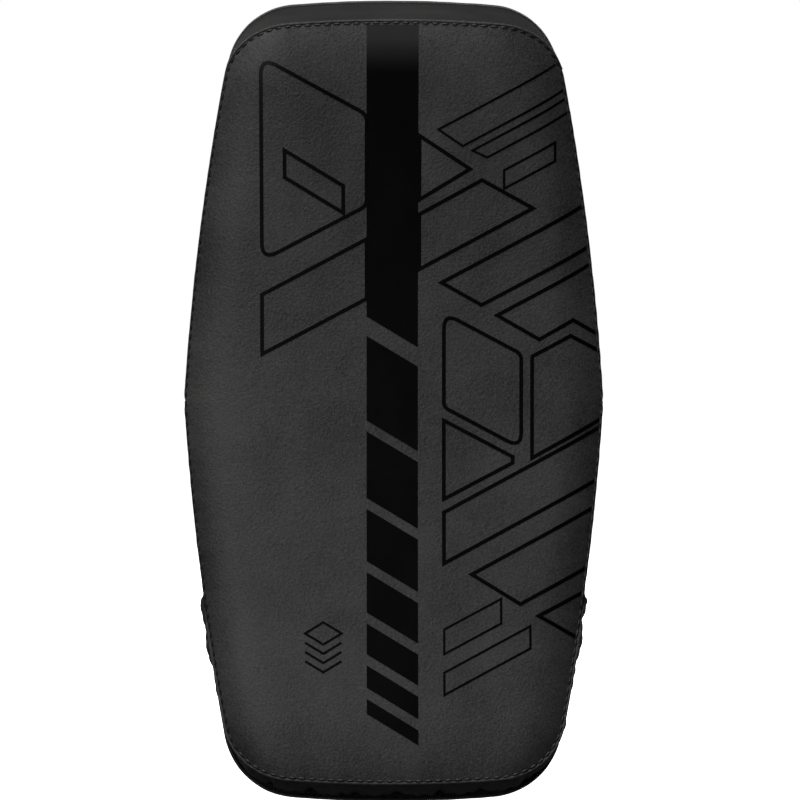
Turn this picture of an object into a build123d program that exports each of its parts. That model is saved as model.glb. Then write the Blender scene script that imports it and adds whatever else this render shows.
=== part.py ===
"""Kick shield: a curved, foam-filled strike pad with a hand grip, two forearm straps and a carry handle.

Working frame while building: X runs across the shield, +Y through it from the strike face to the back,
+Z up. The pad is bent about an axis parallel to X that passes through the working origin, in front of
the strike face, so a place on it is given by x, by its arc height s along the back surface (zero at
mid-height) and by its lift off the back surface. Every piece is moved at the end so that the middle
of the hand grip lies at the origin of the written files. All lengths are millimetres.
"""
from build123d import *
from math import asin, atan2, cos, degrees, radians, sin, sqrt, tan
import os

# ---- driving dimensions -------------------------------------------------------------------------

FACE_RADIUS = 1300.0          # radius of the strike surface
PAD_THICKNESS = 125.0         # strike surface to back surface
BACK_RADIUS = FACE_RADIUS + PAD_THICKNESS
END_ANGLE = 13.8              # angle from mid-height to the end wall, degrees
HALF_WIDTH = 175.0            # at mid-height
CORNER_HALF_WIDTH = 131.0     # where the side line would meet the end line
SIDE_RADIUS = 2240.0          # bow of each side between mid-height and a corner
END_BOW_RADIUS = 1030.0       # bow of the top and bottom ends
CORNER_RADIUS = 60.0
SKIN = 1.4                    # synthetic leather

FRONT_PLANE_Y = 1180.0        # the pad's wall is ruled between an outline in front of it
REAR_PLANE_Y = 1470.0         # and a larger one behind it
SECTOR_ANGLE = 19.0           # half-angle of a ring sector that reaches past both ends
SECTOR_WIDTH = 420.0

GATHER_SWELL = 4.0            # how far the gathered wall stands out past the plain one
GATHER_START_S = -170.0       # arc height where the gathered wall begins
SEAM_ANGLE = 0.02             # half the opening of a butted seam, degrees
CUT_DEPTH = 10.0              # how far a cutter reaches past the skin it opens

FACE_FOAM = 14.0              # firm closed-cell sheet under the strike panel
SHOCK_SHEET = 8.0             # dense board that spreads a kick
REAR_FOAM = 20.0              # soft sheet behind the arm
LAYER_GAP = 0.1

BINDING_THICKNESS = 1.2
BINDING_ON_BACK = 11.0
BINDING_ON_WALL = 10.0

PATCH = 1.6                   # leather patches under the sewn feet
PATCH_CORNER = 6.0
SEWN_GAP = 0.25               # between a patch and the webbing sewn to it

# hand grip
GRIP_S = 190.0                # arc height
GRIP_STANDOFF = 50.0
GRIP_LENGTH = 132.0
GRIP_CORE_BORE = 13.2
GRIP_CORE_RADIUS = 15.2
GRIP_RADIUS = 18.5
GRIP_WEB_WIDTH = 25.0
GRIP_WEB = 2.6
GRIP_FOOT_INNER = 86.0
GRIP_FOOT_OUTER = 116.0
GRIP_BEND = 9.0
GRIP_SHOULDER = 6.0           # webbing past each end of the cover before it turns down
GRIP_CORE_SHORT = 2.0         # how far the core stops inside each end of the cover
GRIP_END_ROUND = 3.0
GRIP_PATCH_MARGIN = 7.0
GRIP_PATCH_HEIGHT = 44.0

# forearm straps, as a cross-section: x across the shield, n out from the back surface
UPPER_STRAP_S = 68.0
LOWER_STRAP_S = -74.0
STRAP_WIDTH = 50.0
STRAP_PAD_WIDTH = 76.0
STRAP_PAD = 8.0
WEB = 2.4
HOOK_AND_LOOP = 1.3
STRIP_INSET = 2.0             # hook and loop strips, in from each edge of the strap
PAD_START = 0.22              # share of the left leg below the pad
PAD_END = 0.62                # share of the right leg that the pad covers
LOOP_START = 0.36             # share of the top before the loop strip
LOOP_END = 0.58               # share of the right leg that the loop strip covers
HOOK_END = 0.56
ANCHOR_PATCH_WIDTH = 64.0
ANCHOR_PATCH_X = -98.0
RING_PATCH_WIDTH = 52.0
RING_PATCH_X = 110.0
TAIL_AIR = 0.4
STRAP_FOOT_X = -122.0
STRAP_RISE_X = -70.0
STRAP_TOP_N = 92.0
STRAP_TOP_X = 58.0
STRAP_RING_X = 75.2
STRAP_RING_N = 33.7
STRAP_FOOT_BEND = 9.0
STRAP_TOP_BEND = 36.0
FOLD_RADIUS = 5.0             # middle line of the webbing where it turns round the ring's outer bar
FOLD_END = 2.6
TAIL_START = 6.4              # above the bar, so that its end swings clear of the fold
TAIL_SETTLES = 24.0
TAIL_SETTLE_BEND = 30.0
TAIL_END_X = -22.0
TAIL_TIP_LENGTH = 24.0
TAIL_TIP_OVERHANG = 6.0
TAIL_TIP_LAP = 2.0            # how far the tip stops short of the hook strip
TAIL_TIP_WALL = 1.5
TAIL_TIP_GAP = 0.2
TAIL_TIP_MARGIN = 1.0
RING_WIRE = 1.6
RING_INNER_WIDTH = 54.0
RING_CORNER = 5.0
RING_BAR_X = 88.0
RING_LOOP_RADIUS = 3.3
RING_LOOP_FOOT_X = 128.0
RING_LOOP_TOP = 5.0           # level run past the bar
RING_LOOP_SLOPE = 10.0        # run over which it comes down to its foot
RING_LOOP_BEND = 8.0

# carry handle
HANDLE_S = -160.0
HANDLE_LIFT = 3.2
HANDLE_LEG_X = 58.0
HANDLE_WEB_WIDTH = 25.0
HANDLE_WEB = 2.8
HANDLE_DROP = 66.0            # hinge line to the middle of the hand bar
HANDLE_LEG_START = 1.4
HANDLE_SLEEVE = (34.0, 18.0, 8.4)   # height, thickness and corner radius of its section
HANDLE_SLEEVE_LENGTH = 88.0
HANDLE_FOOT_LENGTH = 28.0
HANDLE_FOOT_GAP = 2.6
HANDLE_FOOT_CORNER = 1.0
HANDLE_PATCH_WIDTH = 42.0
HANDLE_PATCH_MARGIN = 5.0

# zip
ZIP_S = -272.0
ZIP_HALF_LENGTH = 120.0
ZIP_SLOT = 16.0
ZIP_TAPE = 0.8
ZIP_ROW_GAP = 1.6
ZIP_TOOTH_REACH = 2.4
ZIP_TOOTH_LENGTH = 2.2
ZIP_TOOTH_PITCH = 4.0
ZIP_TOOTH_HEIGHT = 2.4
ZIP_SPINE = 1.0
ZIP_SPINE_SHORT = 2.0         # how far the spine stops inside each end of the tape
ZIP_SLOT_MARGIN = 3.0         # slot in the skin past each end of the tape
ZIP_GROOVE_MARGIN = 6.0
ZIP_STOP_LENGTH = 1.6
ZIP_STOP_INSET = 1.0
ZIP_GROOVE = (20.0, 5.0)       # width and depth of the relief in the rear foam
SLIDER_LENGTH = 12.0
SLIDER_WIDTH = 10.4
SLIDER_PLATE = 1.2
SLIDER_CLEARANCE = 0.35
SLIDER_WEB = 0.9
SLIDER_REST_X = -110.0
SLIDER_CORNER = 2.6
SLIDER_LIP_SHARE = 0.5
BAIL_BAR = 0.9
BAIL_HEIGHT = 2.6
BAIL_WIDTH = 6.4
BAIL_POST = (2.2, 1.0)        # along the zip and across it
PULL_LENGTH = 30.0
PULL_WIDTH = 4.4
PULL_PADDLE_WIDTH = 9.0
PULL_THICKNESS = 1.2
PULL_EYE = 1.35
PULL_EYE_WALL = 1.1
PULL_STEM_SHARE = 0.35
PULL_STEM_START = 0.6         # past the eye's bore, inside its wall
PULL_CORNER = 3.0

# vents
VENT_S = (-45.0, -85.0, -125.0)
VENT_BORE = 3.0
VENT_BARREL = 3.9
VENT_FLANGE = 6.5
VENT_FLANGE_THICKNESS = 0.8

# from the bending axis to the middle of the hand grip, where the written files have their origin
GRIP_ANGLE = GRIP_S / BACK_RADIUS
GRIP_AXIS_RADIUS = BACK_RADIUS + GRIP_STANDOFF
TO_GRIP = Pos(0, -GRIP_AXIS_RADIUS * cos(GRIP_ANGLE), -GRIP_AXIS_RADIUS * sin(GRIP_ANGLE))


# ---- places and general shapes --------------------------------------------------------------------

def angle_at(s):
    """Angle about the bending axis, in degrees, of a place s up the back surface."""
    return degrees(s / BACK_RADIUS)


def across_plane(s):
    """Plane whose x is across the shield, whose y is out from the back and whose z is up the back."""
    a = s / BACK_RADIUS
    spot = (0, BACK_RADIUS * cos(a), BACK_RADIUS * sin(a))
    return Plane(origin=spot, x_dir=(1, 0, 0), z_dir=(0, -sin(a), cos(a)))


def outward_plane(s):
    """Plane tangent to the back surface, facing out from it."""
    a = s / BACK_RADIUS
    spot = (0, BACK_RADIUS * cos(a), BACK_RADIUS * sin(a))
    return Plane(origin=spot, x_dir=(1, 0, 0), z_dir=(0, cos(a), sin(a)))


def sector(inner, outer, low_angle=-SECTOR_ANGLE, high_angle=SECTOR_ANGLE):
    """Ring sector about the bending axis, between two radii and two angles."""
    sweep_angle = high_angle - low_angle
    outer_arc = CenterArc((0, 0), outer, low_angle, sweep_angle)
    inner_arc = CenterArc((0, 0), inner, low_angle, sweep_angle)
    sides = [Line(inner_arc @ 0, outer_arc @ 0), Line(inner_arc @ 1, outer_arc @ 1)]
    profile = make_face([outer_arc, inner_arc] + sides)
    return extrude(Plane.YZ * profile, amount=SECTOR_WIDTH / 2, both=True)


def outline(plane_y, inset):
    """The pad's outline on a plane facing +Y, pulled in by inset."""
    half_height = plane_y * tan(radians(END_ANGLE))
    drop = END_BOW_RADIUS - sqrt(END_BOW_RADIUS ** 2 - CORNER_HALF_WIDTH ** 2)
    side_lean = atan2(HALF_WIDTH - CORNER_HALF_WIDTH, half_height) + asin(half_height / 2 / SIDE_RADIUS)
    end_lean = asin(CORNER_HALF_WIDTH / END_BOW_RADIUS)
    spread = cos(side_lean + end_lean)
    corner_x = CORNER_HALF_WIDTH - inset * (cos(end_lean) - sin(side_lean)) / spread
    corner_z = half_height - drop - inset * (cos(side_lean) - sin(end_lean)) / spread
    half_height -= inset
    right = (HALF_WIDTH - inset, 0)
    left = (-right[0], 0)
    top_right = (corner_x, corner_z)
    top_left = (-corner_x, corner_z)
    low_right = (corner_x, -corner_z)
    low_left = (-corner_x, -corner_z)
    edges = [
        RadiusArc(right, top_right, -SIDE_RADIUS),
        ThreePointArc(top_right, (0, half_height), top_left),
        RadiusArc(top_left, left, -SIDE_RADIUS),
        RadiusArc(left, low_left, -SIDE_RADIUS),
        ThreePointArc(low_left, (0, -half_height), low_right),
        RadiusArc(low_right, right, -SIDE_RADIUS),
    ]
    sharp = make_face(edges)
    corners = [v for v in sharp.vertices() if abs(v.Y) > half_height / 2]
    rounded = fillet(corners, CORNER_RADIUS - inset)
    facing_front = Plane(origin=(0, plane_y, 0), x_dir=(1, 0, 0), z_dir=(0, -1, 0))
    return facing_front * rounded


def walled(inset=0.0):
    """Everything inside the pad's wall, pulled in by inset; the wall follows radii of the bend."""
    sections = [outline(FRONT_PLANE_Y, inset), outline(REAR_PLANE_Y, inset)]
    return loft(sections, ruled=True)


def shifted(points, distance):
    """Corners of a bent line moved sideways, to the left of its direction."""
    corners = [Vector(*p) for p in points]
    headings = [(b - a).normalized() for a, b in zip(corners, corners[1:])]
    sideways = [Vector(-h.Y, h.X) for h in headings]
    moved = [corners[0] + sideways[0] * distance]
    for corner, before, after in zip(corners[1:], sideways, sideways[1:]):
        middle = (before + after).normalized()
        moved.append(corner + middle * (distance / middle.dot(after)))
    moved.append(corners[-1] + sideways[-1] * distance)
    return moved


def bent_line(points, bends, distance):
    """A line with rounded corners, moved sideways; left turns tighten and right turns widen."""
    corners = [Vector(*p) for p in points]
    radii = []
    for a, b, c, bend in zip(corners, corners[1:], corners[2:], bends):
        turn = (b - a).cross(c - b).Z
        radii.append(bend - distance if turn > 0 else bend + distance)
    return FilletPolyline(*shifted(points, distance), radius=radii)


def ribbon(points, bends, low, high):
    """Face between two sideways copies of a bent line: the edge of a strap seen end on."""
    if bends:
        lower = bent_line(points, bends, low)
        upper = bent_line(points, bends, high)
    else:
        lower = Line(*shifted(points, low))
        upper = Line(*shifted(points, high))
    ends = [Line(lower @ 0, upper @ 0), Line(lower @ 1, upper @ 1)]
    return make_face([lower, upper] + ends)


def across(s, face, width):
    """A cross-section given as x and n, made width long up the back about arc height s."""
    return extrude(across_plane(s) * face, amount=width / 2, both=True)


def patch(x_middle, s_middle, width, height, lift, thickness, corner=PATCH_CORNER):
    """Rounded rectangle that follows the curved back surface."""
    shape = Pos(x_middle, 0) * RectangleRounded(width, height, corner)
    cutter = extrude(outward_plane(s_middle) * shape, amount=PAD_THICKNESS / 4, both=True)
    return cutter & sector(BACK_RADIUS + lift, BACK_RADIUS + lift + thickness)


def between(a, b, share):
    """Point part of the way from a to b."""
    start = Vector(*a)
    return start + (Vector(*b) - start) * share


# ---- cover ------------------------------------------------------------------------------------------

def wall_ring(outer_inset):
    """The band round the pad between the strike panel and the back panel."""
    band = walled(outer_inset) - walled(SKIN)
    return band & sector(FACE_RADIUS + SKIN, BACK_RADIUS - SKIN)


def binding_band(swell):
    """Tape folded round the rear edge of a wall that stands out by swell."""
    outer = walled(-swell - BINDING_THICKNESS)
    on_back = outer - walled(BINDING_ON_BACK)
    on_back = on_back & sector(BACK_RADIUS, BACK_RADIUS + BINDING_THICKNESS)
    on_wall = outer - walled(-swell)
    return on_back + (on_wall & sector(BACK_RADIUS - BINDING_ON_WALL, BACK_RADIUS))


def half_space(side):
    """Everything on one side of the middle plane; side is 1 for right and -1 for left."""
    size = 4 * FACE_RADIUS
    return Pos(side * size / 2, 0, 0) * Box(size, size, size)


def vent_spots():
    """Each vent as its side and the line of its bore, at the middle of the wall's depth."""
    middle_radius = FACE_RADIUS + PAD_THICKNESS / 2
    for side in (-1, 1):
        for s in VENT_S:
            a = s / BACK_RADIUS
            yield side, (side * HALF_WIDTH, middle_radius * cos(a), middle_radius * sin(a))


def vent_rod(spot, radius):
    return Pos(*spot) * Rot(0, 90, 0) * Cylinder(radius, HALF_WIDTH / 3)


def make_cover():
    face = walled() & sector(FACE_RADIUS, FACE_RADIUS + SKIN)
    write("strike_panel", face)

    plain = wall_ring(0.0)
    gather_angle = angle_at(GATHER_START_S)
    reach = (FACE_RADIUS - SKIN, BACK_RADIUS + SKIN)
    deep_reach = (BACK_RADIUS - 2 * BINDING_ON_WALL, BACK_RADIUS + 2 * BINDING_THICKNESS)
    write("top_gusset", plain & sector(*reach, SEAM_ANGLE, SECTOR_ANGLE))
    lower_wall = plain & sector(*reach, gather_angle + SEAM_ANGLE, -SEAM_ANGLE)
    for side, spot in vent_spots():
        lower_wall -= vent_rod(spot, VENT_BARREL)
    write("left_side_gusset", lower_wall & half_space(-1))
    write("right_side_gusset", lower_wall & half_space(1))
    gathered = wall_ring(-GATHER_SWELL) & sector(*reach, -SECTOR_ANGLE, gather_angle - SEAM_ANGLE)
    write("bottom_gusset", gathered)

    back = walled() & sector(BACK_RADIUS - SKIN, BACK_RADIUS)
    slot = Rectangle(2 * (ZIP_HALF_LENGTH + ZIP_SLOT_MARGIN), ZIP_SLOT)
    back -= extrude(outward_plane(ZIP_S) * slot, amount=CUT_DEPTH, both=True)
    zip_angle = angle_at(ZIP_S)
    write("back_panel_upper", back & sector(*reach, zip_angle + SEAM_ANGLE, SECTOR_ANGLE))
    write("back_panel_lower", back & sector(*reach, -SECTOR_ANGLE, zip_angle - SEAM_ANGLE))

    plain_binding = binding_band(0.0) & sector(*deep_reach, gather_angle, SECTOR_ANGLE)
    gathered_binding = binding_band(GATHER_SWELL) & sector(*deep_reach, -SECTOR_ANGLE, gather_angle)
    write("rear_edge_binding", plain_binding + gathered_binding)

    vents = []
    flange_outer = walled(-VENT_FLANGE_THICKNESS)
    flange = flange_outer - walled(0.0)
    barrel = flange_outer - walled(SKIN)
    for side, spot in vent_spots():
        ring = flange & (vent_rod(spot, VENT_FLANGE) - vent_rod(spot, VENT_BORE))
        tube = barrel & (vent_rod(spot, VENT_BARREL) - vent_rod(spot, VENT_BORE))
        vents.append((ring + tube).solid())
    write("vent_eyelets", Compound(children=vents))


# ---- filling ----------------------------------------------------------------------------------------

def make_filling():
    inside = walled(SKIN + LAYER_GAP)
    top = FACE_RADIUS + SKIN + LAYER_GAP
    write("face_foam_sheet", inside & sector(top, top + FACE_FOAM))
    bottom = BACK_RADIUS - SKIN - LAYER_GAP
    rear = inside & sector(bottom - REAR_FOAM, bottom)
    groove_width, groove_depth = ZIP_GROOVE
    groove = Rectangle(2 * (ZIP_HALF_LENGTH + ZIP_GROOVE_MARGIN), groove_width)
    rear -= extrude(outward_plane(ZIP_S) * groove, amount=groove_depth + SKIN, both=True)
    write("rear_foam_sheet", rear)
    shock_outer = bottom - REAR_FOAM - LAYER_GAP
    write("shock_sheet", inside & sector(shock_outer - SHOCK_SHEET, shock_outer))
    core_low = top + FACE_FOAM + LAYER_GAP
    core_high = shock_outer - SHOCK_SHEET - LAYER_GAP
    write("impact_foam_core", inside & sector(core_low, core_high))


# ---- hand grip --------------------------------------------------------------------------------------

def make_grip():
    foot_n = PATCH + SEWN_GAP + GRIP_WEB / 2
    half = GRIP_LENGTH / 2 + GRIP_SHOULDER
    line = [
        (-GRIP_FOOT_OUTER, foot_n),
        (-GRIP_FOOT_INNER, foot_n),
        (-half, GRIP_STANDOFF),
        (half, GRIP_STANDOFF),
        (GRIP_FOOT_INNER, foot_n),
        (GRIP_FOOT_OUTER, foot_n),
    ]
    strap = ribbon(line, [GRIP_BEND] * 4, -GRIP_WEB / 2, GRIP_WEB / 2)
    write("grip_webbing", across(GRIP_S, strap, GRIP_WEB_WIDTH))

    plane = across_plane(GRIP_S)
    bar = plane * Pos(0, GRIP_STANDOFF, 0) * Rot(0, 90, 0)
    core = Cylinder(GRIP_CORE_RADIUS, GRIP_LENGTH - 2 * GRIP_CORE_SHORT)
    core -= Cylinder(GRIP_CORE_BORE, GRIP_LENGTH)
    write("grip_core", bar * core)
    cover = Cylinder(GRIP_RADIUS, GRIP_LENGTH)
    cover = fillet(cover.edges().filter_by(GeomType.CIRCLE), GRIP_END_ROUND)
    cover -= Cylinder(GRIP_CORE_RADIUS + LAYER_GAP, GRIP_LENGTH)
    write("grip_cover", bar * cover)

    middle = (GRIP_FOOT_OUTER + GRIP_FOOT_INNER) / 2
    width = GRIP_FOOT_OUTER - GRIP_FOOT_INNER + 2 * GRIP_PATCH_MARGIN
    pair = [patch(side * middle, GRIP_S, width, GRIP_PATCH_HEIGHT, 0, PATCH).solid() for side in (-1, 1)]
    write("grip_patches", Compound(children=pair))


# ---- forearm straps -----------------------------------------------------------------------------------

def strap_corners():
    """Corners of the strap's middle line: foot, rise, top left, top right, level with the ring bar."""
    foot_n = PATCH + SEWN_GAP + WEB / 2
    return [
        (STRAP_FOOT_X, foot_n),
        (STRAP_RISE_X, foot_n),
        (-STRAP_TOP_X, STRAP_TOP_N),
        (STRAP_TOP_X, STRAP_TOP_N),
        (STRAP_RING_X, STRAP_RING_N),
    ]


def make_forearm_strap(name, s):
    foot, rise, top_left, top_right, level = strap_corners()
    down = (Vector(*level) - Vector(*top_right)).normalized()
    out = Vector(-down.Y, down.X)
    outer_bar = Vector(*level) + out * FOLD_RADIUS
    turn_in = Vector(*level) + down * FOLD_RADIUS
    turn_out = turn_in + out * (2 * FOLD_RADIUS)
    fold_end = Vector(*level) + out * (2 * FOLD_RADIUS) - down * FOLD_END

    line = [foot, rise, top_left, top_right, turn_in, turn_out, fold_end]
    fold_bend = FOLD_RADIUS - LAYER_GAP
    bends = [STRAP_FOOT_BEND, STRAP_TOP_BEND, STRAP_TOP_BEND, fold_bend, fold_bend]
    write(name + "_webbing", across(s, ribbon(line, bends, -WEB / 2, WEB / 2), STRAP_WIDTH))

    inner = [
        between(rise, top_left, PAD_START),
        top_left,
        top_right,
        between(top_right, level, PAD_END),
    ]
    over_top = [STRAP_TOP_BEND, STRAP_TOP_BEND]
    pad = ribbon(inner, over_top, -WEB / 2 - LAYER_GAP - STRAP_PAD, -WEB / 2 - LAYER_GAP)
    write(name + "_pad", across(s, pad, STRAP_PAD_WIDTH))

    loop_low = WEB / 2 + LAYER_GAP / 2
    loop_high = loop_low + HOOK_AND_LOOP
    loop_line = [
        between(top_left, top_right, LOOP_START),
        top_right,
        between(top_right, level, LOOP_END),
    ]
    loop_strip = ribbon(loop_line, [STRAP_TOP_BEND], loop_low, loop_high)
    write(name + "_loop_strip", across(s, loop_strip, STRAP_WIDTH - 2 * STRIP_INSET))

    hook_low = loop_high + TAIL_AIR
    hook_high = hook_low + HOOK_AND_LOOP
    tail_middle = hook_high + LAYER_GAP / 2 + WEB / 2
    hook_line = [
        (TAIL_END_X + TAIL_TIP_LENGTH, STRAP_TOP_N),
        top_right,
        between(top_right, level, HOOK_END),
    ]
    hook_strip = ribbon(hook_line, [STRAP_TOP_BEND], hook_low, hook_high)
    write(name + "_hook_strip", across(s, hook_strip, STRAP_WIDTH - 2 * STRIP_INSET))

    tail_top, tail_corner, tail_level = shifted([(TAIL_END_X, STRAP_TOP_N), top_right, level], tail_middle)
    settle = tail_level - down * TAIL_SETTLES
    start = outer_bar + out * FOLD_RADIUS - down * TAIL_START
    tail_line = [tail_top, tail_corner, settle, start]
    tail = ribbon(tail_line, [STRAP_TOP_BEND + tail_middle, TAIL_SETTLE_BEND], -WEB / 2, WEB / 2)
    write(name + "_tail", across(s, tail, STRAP_WIDTH))

    tip_end = (TAIL_END_X - TAIL_TIP_OVERHANG, tail_top.Y)
    tip_start = (TAIL_END_X + TAIL_TIP_LENGTH - TAIL_TIP_LAP, tail_top.Y)
    tip_high = WEB / 2 + TAIL_TIP_WALL
    tip = ribbon([tip_end, tip_start], [], WEB / 2 + LAYER_GAP / 2, tip_high)
    tip += ribbon([tip_end, (TAIL_END_X - TAIL_TIP_GAP, tail_top.Y)], [], -WEB / 2, tip_high)
    write(name + "_tail_tip", across(s, tip, STRAP_WIDTH + 2 * TAIL_TIP_MARGIN))

    make_ring(name, s, outer_bar)

    anchor = patch(ANCHOR_PATCH_X, s, ANCHOR_PATCH_WIDTH, STRAP_PAD_WIDTH, 0, PATCH)
    write(name + "_anchor_patch", anchor)
    ring_patch = patch(RING_PATCH_X, s, RING_PATCH_WIDTH, STRAP_PAD_WIDTH, 0, PATCH)
    write(name + "_ring_patch", ring_patch)


def make_ring(name, s, outer_bar):
    """Rectangular wire ring, and the short webbing loop that holds its inner bar."""
    foot_n = PATCH + SEWN_GAP + WEB / 2
    inner_bar = Vector(RING_BAR_X, foot_n + RING_LOOP_RADIUS)
    middle = (inner_bar + outer_bar) * 0.5
    reach = outer_bar - inner_bar
    plane = across_plane(s)
    length_dir = plane.z_dir
    reach_dir = plane.from_local_coords(reach) - plane.origin
    ring_plane = Plane(
        origin=plane.from_local_coords(middle),
        x_dir=length_dir,
        z_dir=length_dir.cross(reach_dir),
    )
    width = RING_INNER_WIDTH + 2 * RING_WIRE
    path = RectangleRounded(width, reach.length, RING_CORNER).wire()
    start_plane = Plane(origin=path @ 0, z_dir=path % 0)
    wire = sweep(start_plane * Circle(RING_WIRE), path=path, transition=Transition.ROUND)
    write(name + "_ring", ring_plane * wire)

    inner_x = RING_BAR_X - RING_LOOP_RADIUS
    top_n = inner_bar.Y + RING_LOOP_RADIUS
    upper_foot_n = foot_n + WEB + LAYER_GAP
    line = [
        (RING_LOOP_FOOT_X, foot_n),
        (inner_x, foot_n),
        (inner_x, top_n),
        (RING_BAR_X + RING_LOOP_TOP, top_n),
        (RING_BAR_X + RING_LOOP_TOP + RING_LOOP_SLOPE, upper_foot_n),
        (RING_LOOP_FOOT_X, upper_foot_n),
    ]
    turn = RING_LOOP_RADIUS - LAYER_GAP
    loop_face = ribbon(line, [turn, turn, RING_LOOP_BEND, RING_LOOP_BEND], -WEB / 2, WEB / 2)
    write(name + "_ring_loop", across(s, loop_face, STRAP_WIDTH))


# ---- carry handle -------------------------------------------------------------------------------------

def make_carry_handle():
    a = HANDLE_S / BACK_RADIUS
    radius = BACK_RADIUS + HANDLE_LIFT
    hinge = Pos(0, radius * cos(a), radius * sin(a))
    leg_height = HANDLE_DROP - HANDLE_LEG_START
    legs = [
        Pos(side * HANDLE_LEG_X, 0, -HANDLE_LEG_START - leg_height / 2)
        * Box(HANDLE_WEB_WIDTH, HANDLE_WEB, leg_height)
        for side in (-1, 1)
    ]
    bar = Pos(0, 0, -HANDLE_DROP) * Box(2 * HANDLE_LEG_X + HANDLE_WEB_WIDTH, HANDLE_WEB, HANDLE_WEB_WIDTH)
    write("carry_handle_webbing", hinge * (bar + legs[0] + legs[1]))

    height, thickness, corner = HANDLE_SLEEVE
    section = RectangleRounded(thickness, height, corner)
    section -= Rectangle(HANDLE_WEB + 2 * LAYER_GAP, HANDLE_WEB_WIDTH + 2 * LAYER_GAP)
    sleeve = extrude(Plane.YZ * section, amount=HANDLE_SLEEVE_LENGTH / 2, both=True)
    write("carry_handle_sleeve", hinge * Pos(0, 0, -HANDLE_DROP) * sleeve)

    foot_low = HANDLE_S + HANDLE_FOOT_GAP
    foot_middle = foot_low + HANDLE_FOOT_LENGTH / 2
    lift = PATCH + SEWN_GAP
    foot_size = (HANDLE_WEB_WIDTH, HANDLE_FOOT_LENGTH)
    patch_size = (HANDLE_PATCH_WIDTH, HANDLE_FOOT_LENGTH + 2 * HANDLE_PATCH_MARGIN)
    feet = []
    patches = []
    for side in (-1, 1):
        spot = (side * HANDLE_LEG_X, foot_middle)
        feet.append(patch(*spot, *foot_size, lift, HANDLE_WEB, HANDLE_FOOT_CORNER).solid())
        patches.append(patch(*spot, *patch_size, 0, PATCH).solid())
    write("carry_handle_feet", Compound(children=feet))
    write("carry_handle_patches", Compound(children=patches))


# ---- zip --------------------------------------------------------------------------------------------

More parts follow.
